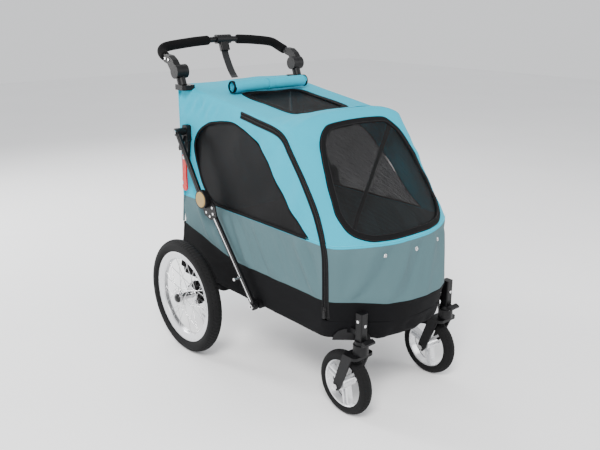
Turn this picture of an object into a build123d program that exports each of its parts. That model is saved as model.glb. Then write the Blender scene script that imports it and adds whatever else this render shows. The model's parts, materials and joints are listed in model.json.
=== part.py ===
from build123d import *
import os
import math

os.makedirs("parts", exist_ok=True)

# ---------------------------------------------------------------- dimensions (mm)
# Frame: +Z up from the ground, the front of the stroller faces -Y, the
# side with the transport hook is -X. The origin is on the ground under the
# middle of the overall length and width.
AXLE_Y = 282.914            # rear axle, from the middle of the overall length
REAR_OD = 400.0           # 16 inch rear wheels
REAR_X = 324.0            # centre plane of a rear wheel
REAR_W = 47.0             # tyre section
REAR_Z = REAR_OD / 2
FRONT_OD = 200.0          # 8 inch casters
FRONT_W = 39.0
CASTER_X = 190.6          # swivel axis
CASTER_Y = AXLE_Y - 716.0
TRAIL = 57.6
FRONT_Z = FRONT_OD / 2
AXLE_R = 8.0

PIVOT_O = (AXLE_Y + 42.0, 255.0)        # uprights fold about this line (y, z)
PIVOT_UP = (AXLE_Y + 57.0, 760.0)       # upper strut pin, on the upright
PIVOT_MID = (AXLE_Y - 76.0, 556.0)      # knee of the side strut
PIVOT_LOW = (AXLE_Y - 322.0, 254.0)     # lower strut pin, on the base
PIVOT_HOOP = (AXLE_Y - 300.0, 375.0)    # front hoop legs
PIVOT_DOOR = (AXLE_Y - 440.6, 864.5)    # front panel, at its seam over the hoop
PIVOT_HANDLE = (AXLE_Y + 88.0, 953.0)   # handlebar tilt discs
PIVOT_HOOK = (AXLE_Y + 69.0, 668.0)     # transport hook
UPRIGHT_X = 226.0
UPRIGHT_R = 11.0
RAIL_X = 200.0
RAIL_R = 8.0
SKIN = 2.4                # fabric wall with its lining
SEAM_Z = 527.0            # upper cloth to band seam
TUB_Z = 361.0             # band to tub seam


def fy(y):
    """Distance behind the rear axle to row Y."""
    return y + AXLE_Y


def mitre(points, d):
    """Closed outline moved outwards by d (points run counter-clockwise)."""
    out = []
    n = len(points)
    for i in range(n):
        (x0, y0), (x1, y1), (x2, y2) = points[i - 1], points[i], points[(i + 1) % n]
        a = math.atan2(y1 - y0, x1 - x0)
        b = math.atan2(y2 - y1, x2 - x1)
        h = (b - a + math.pi) % (2 * math.pi) - math.pi
        m = a + h / 2
        r = d / math.cos(h / 2)
        out.append((x1 + r * math.sin(m), y1 - r * math.cos(m)))
    return out


# Half plan of the cloth body at four heights, from the middle of the nose round
# to the middle of the back: (x, y behind the rear axle).
PLAN = {
    245.0: [(0, -754), (61, -748), (123, -733), (176, -692), (206, -664), (232, -641), (249, -620), (250, -224), (249, 35), (247, 150)],
    361.0: [(0, -786), (67, -781), (127, -755), (176, -706), (211, -672), (237, -652), (250, -632), (249, -224), (248, 35), (246, 128)],
    527.0: [(0, -738), (75, -735), (142, -713), (188, -690), (213, -675), (237, -659), (250, -640), (245, -224), (244, 35), (244, 106)],
    915.0: [(0, -424), (75, -424), (142, -424), (176, -424), (196, -423), (210, -420), (219, -412), (225, -224), (233, 35), (243, 108)],
}


def outline(z, d):
    half = [(x, fy(y)) for x, y in PLAN[z]]
    other = [(-x, y) for x, y in reversed(half[1:])]
    return mitre(half + other, d)


def stacked(rings):
    """Solid between closed rings of points, each ring facing the next."""
    n = len(rings[0])
    faces = [Face(Wire.make_polygon([Vector(*p) for p in rings[0]], close=True)), Face(Wire.make_polygon([Vector(*p) for p in rings[-1]], close=True))]
    for low, high in zip(rings, rings[1:]):
        for i in range(n):
            j = (i + 1) % n
            faces.append(Face(Wire.make_polygon([Vector(*low[i]), Vector(*low[j]), Vector(*high[j])], close=True)))
            faces.append(Face(Wire.make_polygon([Vector(*low[i]), Vector(*high[j]), Vector(*high[i])], close=True)))
    return Solid(Shell(faces))


def lofted(d, z_low=None):
    """Closed body of the cloth outline, moved outwards by d."""
    rings = []
    for z in PLAN:
        at = z if z > 245.0 or z_low is None else z_low
        rings.append([(x, y, at) for x, y in outline(z, d)])
    return stacked(rings)


ARCH_X = (246, 236, 224, 210, 194, 174, 148, 114, 74, 38, 0)


def roofed(d):
    """Space under the roof: flat at the back bar, arched over the front hoop."""
    rings = []
    for y, side, crown in ((190, 920.0, 2.0), (-340, 840.5, 7.0), (-455, 816.0, 52.0), (-860, 755.0, 52.0)):
        half = [(x, side + crown * (1 - (x / 246) ** 3.5) + d) for x in ARCH_X]
        top = half + [(-x, z) for x, z in reversed(half[:-1])]
        rings.append([(x, fy(y), z) for x, z in [(-400, 100), (400, 100), (400, side + d)] + top + [(-400, side + d)]])
    return stacked(rings)


OUTER = lofted(0.0)
INNER = lofted(-SKIN, z_low=245.0 + SKIN)
ROOF_OUT = roofed(0.0)
ROOF_IN = roofed(-SKIN)
TAPE_OUT = lofted(1.6)
TAPE_IN = lofted(0.3)
TAPE_ROOF = roofed(1.6)

with BuildPart() as cloth:
    add(OUTER)
    add(ROOF_OUT, mode=Mode.INTERSECT)
CLOTH = cloth.part

with BuildPart() as cabin:
    add(INNER)
    add(ROOF_IN, mode=Mode.INTERSECT)
CABIN = cabin.part

with BuildPart() as skin:
    add(CLOTH)
    add(CABIN, mode=Mode.SUBTRACT)
SKIN_BODY = skin.part

# Side view outlines (y, z)
TUB_TOP = [(fy(-900), 361), (fy(-182), 360), (fy(33), 408), (fy(300), 460)]
ZIP = [(fy(-440), 795), (fy(-460), 762), (fy(-519), 693), (fy(-571), 621), (fy(-605), 562), (fy(-624), 526), (fy(-628), 470), (fy(-628), 302)]
SIDE_WINDOW = [(fy(-90), 530), (fy(-203), 531), (fy(-369), 531), (fy(-535), 531), (fy(-462), 597), (fy(-404), 658), (fy(-326), 742), (fy(-271), 776), (fy(-215), 800), (fy(-171), 812), (fy(-102), 806), (fy(-37), 790), (fy(7), 760), (fy(26), 719), (fy(23), 667), (fy(6), 612), (fy(-17), 577)]
FRONT_WINDOW = [(-140, 546), (140, 546), (176, 578), (170, 640), (160, 708), (138, 778), (104, 812), (-104, 812), (-138, 778), (-160, 708), (-170, 640), (-176, 578)]

with BuildPart() as door_space:
    with BuildSketch(Plane.YZ.offset(-400)):
        with BuildLine():
            Polyline(*ZIP, (fy(-950), 302), (fy(-950), 1000), (fy(-440), 1000), close=True)
        make_face()
    extrude(amount=800)
DOOR_SPACE = door_space.part

with BuildPart() as door_inner:
    with BuildSketch(Plane.YZ.offset(-400)):
        with BuildLine():
            Polyline(*[(y - 1.2, z) for y, z in ZIP[:-1]], (fy(-628) - 1.2, 303.2), (fy(-950), 303.2), (fy(-950), 1000), (fy(-440) - 1.2, 1000), close=True)
        make_face()
    extrude(amount=800)
DOOR_INNER = door_inner.part

# ---------------------------------------------------------------- base frame
BASE_TUBES = [
    ((-RAIL_X, fy(120), 262), (-RAIL_X, fy(-640), 262), 10),
    ((RAIL_X, fy(120), 262), (RAIL_X, fy(-640), 262), 10),
    ((-RAIL_X, fy(110), 262), (RAIL_X, fy(110), 262), 9),
    ((-RAIL_X, fy(-110), 262), (RAIL_X, fy(-110), 262), 9),
    ((-RAIL_X, fy(-370), 262), (RAIL_X, fy(-370), 262), 9),
    ((-RAIL_X, fy(-632), 262), (RAIL_X, fy(-632), 262), 9),
    ((-RAIL_X, fy(-90), 350), (-RAIL_X, fy(-600), 350), RAIL_R),
    ((RAIL_X, fy(-90), 350), (RAIL_X, fy(-600), 350), RAIL_R),
    ((-RAIL_X, fy(-90), 262), (-RAIL_X, fy(-90), 350), RAIL_R),
    ((RAIL_X, fy(-90), 262), (RAIL_X, fy(-90), 350), RAIL_R),
    ((-RAIL_X, fy(-600), 262), (-RAIL_X, fy(-600), 350), RAIL_R),
    ((RAIL_X, fy(-600), 262), (RAIL_X, fy(-600), 350), RAIL_R),
]
with BuildPart() as base_frame:
    for p, q, r in BASE_TUBES:
        with BuildSketch(Plane(origin=p, z_dir=Vector(*q) - Vector(*p))):
            Circle(r)
        extrude(amount=(Vector(*q) - Vector(*p)).length)
    for sx in (-1, 1):
        # ears that carry the hoop legs, with their pins
        with BuildSketch(Plane.YZ.offset(sx * RAIL_X - 3)):
            with Locations((PIVOT_HOOP[0], 362)):
                RectangleRounded(26, 44, 8)
        extrude(amount=6)
        with BuildSketch(Plane.YZ.offset(sx * 176 if sx > 0 else -204)):
            with Locations(PIVOT_HOOP):
                Circle(4)
        extrude(amount=28)
        # pins that the uprights turn on
        with BuildSketch(Plane.YZ.offset(RAIL_X - 2 if sx > 0 else -240)):
            with Locations(PIVOT_O):
                Circle(6)
        extrude(amount=42)
        # outriggers and pins of the lower struts
        with BuildSketch(Plane.YZ.offset(RAIL_X if sx > 0 else -262)):
            with Locations((PIVOT_LOW[0], 259)):
                Rectangle(34, 22)
        extrude(amount=62)
        with BuildSketch(Plane.YZ.offset(260 if sx > 0 else -283)):
            with Locations(PIVOT_LOW):
                Circle(4)
        extrude(amount=23)
base_frame.part.label = "base_frame"
export_step(base_frame.part, "parts/base_frame.step")

# ---------------------------------------------------------------- rear axle with its hangers and brake brackets
PEDAL_Y, PEDAL_Z = fy(67.2), 196.4
with BuildPart() as rear_axle:
    with BuildSketch(Plane.YZ.offset(-350)):
        with Locations((fy(0), REAR_Z)):
            Circle(AXLE_R)
    extrude(amount=700)
    with BuildSketch(Plane.YZ.offset(-262)):
        with Locations((fy(0), REAR_Z)):
            Circle(14)
    extrude(amount=524)
    for sx in (-1, 1):
        # hanger: a pressed leg from the axle up to the rail's underside
        with BuildSketch(Plane.YZ.offset(sx * 200 - 9)):
            with BuildLine():
                Polyline((fy(-13), REAR_Z), (fy(-26), 219), (fy(26), 219), (fy(13), REAR_Z), close=True)
            make_face()
        extrude(amount=18)
        # bracket that carries the brake bar
        with BuildSketch(Plane.YZ.offset(sx * 150 - 3)):
            with BuildLine():
                Polyline((fy(0), REAR_Z - 12), (PEDAL_Y, PEDAL_Z - 12), (PEDAL_Y + 9, PEDAL_Z - 6), (PEDAL_Y + 9, PEDAL_Z + 8), (PEDAL_Y, PEDAL_Z + 12), (fy(0), REAR_Z + 12), close=True)
            make_face()
        extrude(amount=6)
        with BuildSketch(Plane.YZ.offset(sx * 150 - 4)):
            with Locations((PEDAL_Y, PEDAL_Z)):
                Circle(6.1)
        extrude(amount=8, mode=Mode.SUBTRACT)
rear_axle.part.label = "rear_axle"
export_step(rear_axle.part, "parts/rear_axle.step")

with BuildPart() as brake_bar:
    with BuildSketch(Plane.YZ.offset(-270)):
        with Locations((PEDAL_Y, PEDAL_Z)):
            Circle(6)
    extrude(amount=540)
    for sx in (-1, 1):
        with BuildSketch(Plane.YZ.offset(264 if sx > 0 else -270)):
            with BuildLine():
                Polyline((PEDAL_Y + 7, PEDAL_Z - 6), (PEDAL_Y - 5, PEDAL_Z + 7), (fy(35.4) - 6, 164.6 + 5), (fy(35.4) + 5, 164.6 - 6), close=True)
            make_face()
        extrude(amount=6)
        with BuildSketch(Plane.YZ.offset(264 if sx > 0 else -283)):
            with Locations((fy(35.4), 164.6)):
                Circle(4)
        extrude(amount=19)
    # foot pedal
    with BuildSketch(Plane.YZ.offset(-36)):
        with BuildLine():
            Polyline((PEDAL_Y - 4, PEDAL_Z - 7), (PEDAL_Y + 20, PEDAL_Z - 7), (PEDAL_Y + 62, PEDAL_Z + 3), (PEDAL_Y + 62, PEDAL_Z + 9), (PEDAL_Y + 20, PEDAL_Z + 5), (PEDAL_Y - 4, PEDAL_Z + 7), close=True)
        make_face()
    extrude(amount=72)
brake_bar.part.label = "brake_bar"
export_step(brake_bar.part, "parts/brake_bar.step")

# ---------------------------------------------------------------- caster posts, brackets and swivel locks
with BuildPart() as caster_posts:
    for sx in (-1, 1):
        x = sx * CASTER_X
        with BuildSketch(Plane.XY.offset(215.5)):
            with Locations((x, CASTER_Y)):
                Circle(23)
        extrude(amount=30)
        with BuildSketch(Plane.XY.offset(245.5)):
            with Locations((x, CASTER_Y)):
                Circle(19)
        extrude(amount=12)
        with BuildSketch(Plane.XY.offset(257.5)):
            with Locations((x, CASTER_Y)):
                RectangleRounded(26, 26, 4)
        extrude(amount=84.5)
        # arm back to the base frame's front crossbar
        with BuildSketch(Plane.XY.offset(271.2)):
            with BuildLine():
                Polyline((x - 10, CASTER_Y), (sx * 184 - 9, fy(-632)), (sx * 184 + 9, fy(-632)), (x + 10, CASTER_Y), close=True)
            make_face()
        extrude(amount=15)
        with BuildSketch(Plane.XY.offset(215)):
            with Locations((x, CASTER_Y)):
                Circle(8.1)
        extrude(amount=40, mode=Mode.SUBTRACT)
caster_posts.part.label = "caster_posts"
export_step(caster_posts.part, "parts/caster_posts.step")

with BuildPart() as caster_brackets:
    for sx in (-1, 1):
        x = sx * CASTER_X
        # fan shaped moulding behind each post, flat against the slanted corner
        nx, ny = sx * 0.68, -0.733
        with BuildSketch(Plane(origin=(sx * 191 + nx * 3.2, fy(-678) + ny * 3.2, 246), x_dir=(-ny, nx, 0), z_dir=(nx, ny, 0))):
            with BuildLine():
                Polyline((-56, 0), (-52, 14), (-40, 27), (-22, 35), (22, 35), (40, 27), (52, 14), (56, 0), close=True)
            make_face()
        extrude(amount=3)
with BuildPart() as caster_brackets_fit:
    add(caster_brackets.part)
    for sx in (-1, 1):
        with BuildSketch(Plane.XY.offset(270)):
            with Locations((sx * 189, fy(-682))):
                Rectangle(32, 40)
        extrude(amount=17.4, mode=Mode.SUBTRACT)
caster_brackets_fit.part.label = "caster_brackets"
export_step(caster_brackets_fit.part, "parts/caster_brackets.step")

for side, sx in (("right", -1), ("left", 1)):
    x = sx * CASTER_X
    lock_y, lock_z = CASTER_Y - 23.5, 257.0
    with BuildPart() as swivel_lock:
        with BuildSketch(Plane.YZ.offset(x - 20)):
            with BuildLine():
                Polyline((lock_y - 3, lock_z - 9), (lock_y + 3, lock_z - 9), (lock_y + 3, lock_z + 3), (lock_y - 1, lock_z + 8), (lock_y - 14, lock_z + 3), (lock_y - 14, lock_z - 3), (lock_y - 6, lock_z - 4), close=True)
            make_face()
            with Locations((lock_y, lock_z)):
                Circle(1.6, mode=Mode.SUBTRACT)
        extrude(amount=40)
    swivel_lock.part.label = "swivel_lock_" + side
    export_step(swivel_lock.part, "parts/swivel_lock_" + side + ".step")

    # fork: two slanted arms under a crown plate, with the kingpin
    with BuildPart() as fork:
        with BuildSketch(Plane.XY.offset(205)):
            with BuildLine():
                Polyline((x - 40, CASTER_Y - 16), (x + 40, CASTER_Y - 16), (x + 40, CASTER_Y + 36), (x - 40, CASTER_Y + 36), close=True)
            make_face()
        extrude(amount=9)
        fillet(fork.edges().filter_by(Axis.Z), 14)
        for dx in (-40, 34):
            with BuildSketch(Plane.YZ.offset(x + dx)):
                with BuildLine():
                    Polyline((CASTER_Y - 4, 214), (CASTER_Y + 33, 214), (CASTER_Y + TRAIL + 13, 108), (CASTER_Y + TRAIL + 10, 88), (CASTER_Y + TRAIL - 4, 85), (CASTER_Y + TRAIL - 14, 96), close=True)
                make_face()
            extrude(amount=6)
        with BuildSketch(Plane.XY.offset(206)):
            with Locations((x, CASTER_Y)):
                Circle(8)
        extrude(amount=46)
        with BuildSketch(Plane.YZ.offset(x - 42)):
            with Locations((CASTER_Y + TRAIL, FRONT_Z)):
                Circle(5.2)
        extrude(amount=84, mode=Mode.SUBTRACT)
    fork.part.label = "caster_fork_" + side
    export_step(fork.part, "parts/caster_fork_" + side + ".step")

    with BuildPart() as bolt:
        with BuildSketch(Plane.YZ.offset(x - 40)):
            with Locations((CASTER_Y + TRAIL, FRONT_Z)):
                Circle(5)
        extrude(amount=80)
        with BuildSketch(Plane.YZ.offset(x - 46)):
            with Locations((CASTER_Y + TRAIL, FRONT_Z)):
                RegularPolygon(8.5, 6)
        extrude(amount=6)
        with BuildSketch(Plane.YZ.offset(x + 40)):
            with Locations((CASTER_Y + TRAIL, FRONT_Z)):
                RegularPolygon(8.5, 6)
        extrude(amount=6)
    bolt.part.label = "caster_bolt_" + side
    export_step(bolt.part, "parts/caster_bolt_" + side + ".step")

    centre = (x, CASTER_Y + TRAIL, FRONT_Z)
    spin = Axis(centre, (1, 0, 0))
    with BuildPart() as front_tyre:
        with BuildSketch(Plane(origin=centre, x_dir=(1, 0, 0), z_dir=(0, -1, 0))):
            with BuildLine():
                Polyline((-14, 81.9), (14, 81.9), (19.5, 86), (18.5, 93), (12, 98.4), (5, 100), (-5, 100), (-12, 98.4), (-18.5, 93), (-19.5, 86), close=True)
            make_face()
        revolve(axis=spin)
    front_tyre.part.label = "front_tyre_" + side
    export_step(front_tyre.part, "parts/front_tyre_" + side + ".step")

    with BuildPart() as front_rim:
        with BuildSketch(Plane(origin=centre, x_dir=(1, 0, 0), z_dir=(0, -1, 0))):
            with BuildLine():
                Polyline((-17, 81.6), (-17, 77), (-12, 70), (12, 70), (17, 77), (17, 81.6), close=True)
            make_face()
            with Locations((0, 11)):
                Rectangle(52, 11.6)
        revolve(axis=spin)
        for i in range(3):
            a = math.radians(120 * i + 20)
            for s in (-1, 1):
                c, d = math.cos(a), math.sin(a)
                oy, oz = -d * 8 * s, c * 8 * s
                with BuildSketch(Plane(origin=(x, centre[1] + c * 12 + oy, centre[2] + d * 12 + oz), x_dir=(1, 0, 0), z_dir=(0, c, d))):
                    Rectangle(20, 7)
                extrude(amount=59.5)
        with BuildSketch(Plane.YZ.offset(x - 30)):
            with Locations((centre[1], centre[2])):
                Circle(5.1)
        extrude(amount=60, mode=Mode.SUBTRACT)
    front_rim.part.label = "front_rim_" + side
    export_step(front_rim.part, "parts/front_rim_" + side + ".step")

# ---------------------------------------------------------------- rear wheels
for side, sx in (("right", -1), ("left", 1)):
    x = sx * REAR_X
    centre = (x, fy(0), REAR_Z)
    spin = Axis(centre, (1, 0, 0))
    with BuildPart() as rear_tyre:
        with BuildSketch(Plane(origin=centre, x_dir=(1, 0, 0), z_dir=(0, -1, 0))):
            with Locations((0, REAR_OD / 2 - REAR_W / 2)):
                Circle(REAR_W / 2)
            with Locations((0, 148)):
                Rectangle(30.6, 30.2, mode=Mode.SUBTRACT)
        revolve(axis=spin)
    rear_tyre.part.label = "rear_tyre_" + side
    export_step(rear_tyre.part, "parts/rear_tyre_" + side + ".step")

    with BuildPart() as rear_rim:
        with BuildSketch(Plane(origin=centre, x_dir=(1, 0, 0), z_dir=(0, -1, 0))):
            with BuildLine():
                Polyline((-15, 162.8), (-15, 154), (-10, 136), (-6, 133), (6, 133), (10, 136), (15, 154), (15, 162.8), (11.5, 162.8), (11.5, 156), (-11.5, 156), (-11.5, 162.8), close=True)
            make_face()
        revolve(axis=spin)
        # valve stem, on the wheel's outer side of the rim's inner face
        a = math.radians(200)
        with BuildSketch(Plane(origin=(x, centre[1] + 135 * math.cos(a), centre[2] + 135 * math.sin(a)), x_dir=(1, 0, 0), z_dir=(0, -math.cos(a), -math.sin(a)))):
            Circle(3.2)
        extrude(amount=30)
    rear_rim.part.label = "rear_rim_" + side
    export_step(rear_rim.part, "parts/rear_rim_" + side + ".step")

    # 28 crossed wire spokes, 14 from each hub flange
    with BuildPart() as rear_spokes:
        for flange in (-1, 1):
            for i in range(14):
                lead = 1 if i % 2 else -1
                a = 2 * math.pi * (i + (0.5 if flange > 0 else 0.0)) / 14
                b = a + lead * math.radians(62)
                fx = x + flange * (26 + 2.4 * lead)
                p = Vector(fx, centre[1] + 23 * math.cos(b), centre[2] + 23 * math.sin(b))
                q = Vector(x + flange * 3.5, centre[1] + 133.4 * math.cos(a), centre[2] + 133.4 * math.sin(a))
                with BuildSketch(Plane(origin=p, z_dir=q - p)):
                    Circle(0.95)
                extrude(amount=(q - p).length)
    rear_spokes.part.label = "rear_spokes_" + side
    export_step(rear_spokes.part, "parts/rear_spokes_" + side + ".step")

    with BuildPart() as rear_hub:
        with BuildSketch(Plane(origin=centre, x_dir=(1, 0, 0), z_dir=(0, -1, 0))):
            with BuildLine():
                Polyline((-33, 8.08), (-33, 16), (-28.5, 17), (-28.5, 27), (-23.5, 27), (-23.5, 14), (-18, 12.5), (18, 12.5), (23.5, 14), (23.5, 27), (28.5, 27), (28.5, 17), (33, 16), (33, 8.08), close=True)
            make_face()
        revolve(axis=spin)
        with BuildSketch(Plane.YZ.offset(x + 28 if sx > 0 else x - 33)):
            with Locations((centre[1], centre[2])):
                Circle(15)
        extrude(amount=5)
    rear_hub.part.label = "rear_hub_" + side
    export_step(rear_hub.part, "parts/rear_hub_" + side + ".step")

    # notched brake disc on the inner end of the hub
    with BuildPart() as brake_disc:
        with BuildSketch(Plane.YZ.offset(sx * 272 if sx > 0 else sx * 284)):
            with Locations((centre[1], centre[2])):
                Circle(42)
        extrude(amount=12)
        for i in range(12):
            a = 30 * i + 15
            with BuildSketch(Plane(origin=(sx * 270 if sx > 0 else sx * 286, centre[1], centre[2]), x_dir=(0, math.cos(math.radians(a)), math.sin(math.radians(a))), z_dir=(1, 0, 0))):
                with Locations((39, 0)):
                    Rectangle(14, 10.4)
            extrude(amount=16, mode=Mode.SUBTRACT)
        with BuildSketch(Plane.YZ.offset(284 if sx > 0 else -291)):
            with Locations((centre[1], centre[2])):
                Circle(16)
        extrude(amount=7)
        with BuildSketch(Plane.YZ.offset(sx * 262 if sx > 0 else sx * 300)):
            with Locations((centre[1], centre[2])):
                Circle(8.1)
        extrude(amount=38, mode=Mode.SUBTRACT)
    brake_disc.part.label = "brake_disc_" + side
    export_step(brake_disc.part, "parts/brake_disc_" + side + ".step")

# ---------------------------------------------------------------- cabin floor
with BuildPart() as floor_board:
    with BuildSketch(Plane.XY.offset(272.3)):
        with Locations((0, fy(-262))):
            RectangleRounded(376, 664, 30)
    extrude(amount=6)
floor_board.part.label = "floor_board"
export_step(floor_board.part, "parts/floor_board.step")

with BuildPart() as floor_cushion:
    with BuildSketch(Plane.XY.offset(278.6)):
        with Locations((0, fy(-262))):
            RectangleRounded(366, 650, 40)
    extrude(amount=26)
    fillet(floor_cushion.edges().group_by(Axis.Z)[-1], 8)
floor_cushion.part.label = "floor_cushion"
export_step(floor_cushion.part, "parts/floor_cushion.step")

# ---------------------------------------------------------------- uprights and their crossbar
with BuildPart() as uprights:
    for sx in (-1, 1):
        p = Vector(sx * UPRIGHT_X, PIVOT_O[0], PIVOT_O[1] - 6)
        q = Vector(sx * UPRIGHT_X, fy(60), 800)
        e = Vector(sx * (UPRIGHT_X - 4), fy(76), 890.5)
        for a, b in ((p, q), (q, e)):
            with BuildSketch(Plane(origin=a, z_dir=b - a)):
                Circle(UPRIGHT_R)
            extrude(amount=(b - a).length)
    with BuildSketch(Plane.YZ.offset(-UPRIGHT_X)):
        with Locations((fy(76), 882)):
            Circle(8)
    extrude(amount=2 * UPRIGHT_X)
    for sx in (-1, 1):
        with BuildSketch(Plane.YZ.offset(sx * UPRIGHT_X - 12)):
            with Locations(PIVOT_O):
                Circle(13)
        extrude(amount=24)
        with BuildSketch(Plane.YZ.offset(sx * UPRIGHT_X - 16)):
            with Locations(PIVOT_O):
                Circle(6.1)
        extrude(amount=32, mode=Mode.SUBTRACT)
uprights.part.label = "uprights"
export_step(uprights.part, "parts/uprights.step")

# moulded elbows that join the uprights to the handle discs
with BuildPart() as corner_caps:
    for sx in (-1, 1):
        with BuildSketch(Plane.XY.offset(893.5)):
            with Locations((sx * 241, fy(76))):
                RectangleRounded(48, 62, 12)
        extrude(amount=17)
        with BuildSketch(Plane(origin=(sx * 250, fy(76), 908), z_dir=(0, 10, 28))):
            Circle(15)
        extrude(amount=28)
corner_caps.part.label = "corner_caps"
export_step(corner_caps.part, "parts/corner_caps.step")

with BuildPart() as handle_sockets:
    for sx in (-1, 1):
        # inner half of the tilt disc
        with BuildSketch(Plane.YZ.offset(228 if sx > 0 else -249.8)):
            with Locations(PIVOT_HANDLE):
                Circle(23)
        extrude(amount=21.8)
        with BuildSketch(Plane.YZ.offset(249 if sx > 0 else -268)):
            with Locations(PIVOT_HANDLE):
                Circle(7)
        extrude(amount=19)
    add(corner_caps.part, mode=Mode.SUBTRACT)
handle_sockets.part.label = "handle_sockets"
export_step(handle_sockets.part, "parts/handle_sockets.step")

with BuildPart() as corner_caps_fit:
    add(corner_caps.part)
    for sx in (-1, 1):
        # keep clear of the outer, turning half of the disc
        with BuildSketch(Plane.YZ.offset(249.9 if sx > 0 else -290)):
            with Locations(PIVOT_HANDLE):
                Circle(25)
        extrude(amount=40.1, mode=Mode.SUBTRACT)
corner_caps_fit.part.label = "corner_caps"
export_step(corner_caps_fit.part, "parts/corner_caps.step")

# brackets that reach out through the cloth to the upper strut pins
with BuildPart() as strut_brackets:
    for sx in (-1, 1):
        with BuildSketch(Plane.YZ.offset(236 if sx > 0 else -262)):
            with Locations((fy(58), 752)):
                RectangleRounded(30, 56, 8)
        extrude(amount=26)
        with BuildSketch(Plane.YZ.offset(262 if sx > 0 else -281.6)):
            with Locations(PIVOT_UP):
                Circle(12)
        extrude(amount=19.6)
        # strap down to the hook's pin
        with BuildSketch(Plane.YZ.offset(246 if sx > 0 else -255.4)):
            with BuildLine():
                Polyline((fy(46), 735), (fy(72), 735), (fy(80), 668), (fy(74), 658), (fy(62), 658), (fy(57), 668), close=True)
            make_face()
        extrude(amount=9.4)
        # claw that hides the tube's bolt
        with BuildSketch(Plane.YZ.offset(262 if sx > 0 else -270)):
            with BuildLine():
                Polyline((fy(52), 745), (fy(70), 745), (fy(90), 700), (fy(86), 690), (fy(76), 694), (fy(60), 730), close=True)
            make_face()
        extrude(amount=8)
with BuildPart() as strut_brackets_fit:
    add(strut_brackets.part)
    add(uprights.part, mode=Mode.SUBTRACT)
strut_brackets_fit.part.label = "strut_brackets"
export_step(strut_brackets_fit.part, "parts/strut_brackets.step")

# pins of the upper struts and of the transport hook
with BuildPart() as strut_pins:
    for sx in (-1, 1):
        with BuildSketch(Plane.YZ.offset(281.8 if sx > 0 else -301)):
            with Locations(PIVOT_UP):
                Circle(4)
        extrude(amount=19.2)
        with BuildSketch(Plane.YZ.offset(299.8 if sx > 0 else -303)):
            with Locations(PIVOT_UP):
                Circle(8)
        extrude(amount=3.2)
    with BuildSketch(Plane.YZ.offset(-262.8)):
        with Locations(PIVOT_HOOK):
            Circle(3)
    extrude(amount=7.2)
    with BuildSketch(Plane.YZ.offset(-264.6)):
        with Locations(PIVOT_HOOK):
            Circle(6)
    extrude(amount=2.2)
strut_pins.part.label = "strut_pins"
export_step(strut_pins.part, "parts/strut_pins.step")

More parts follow.
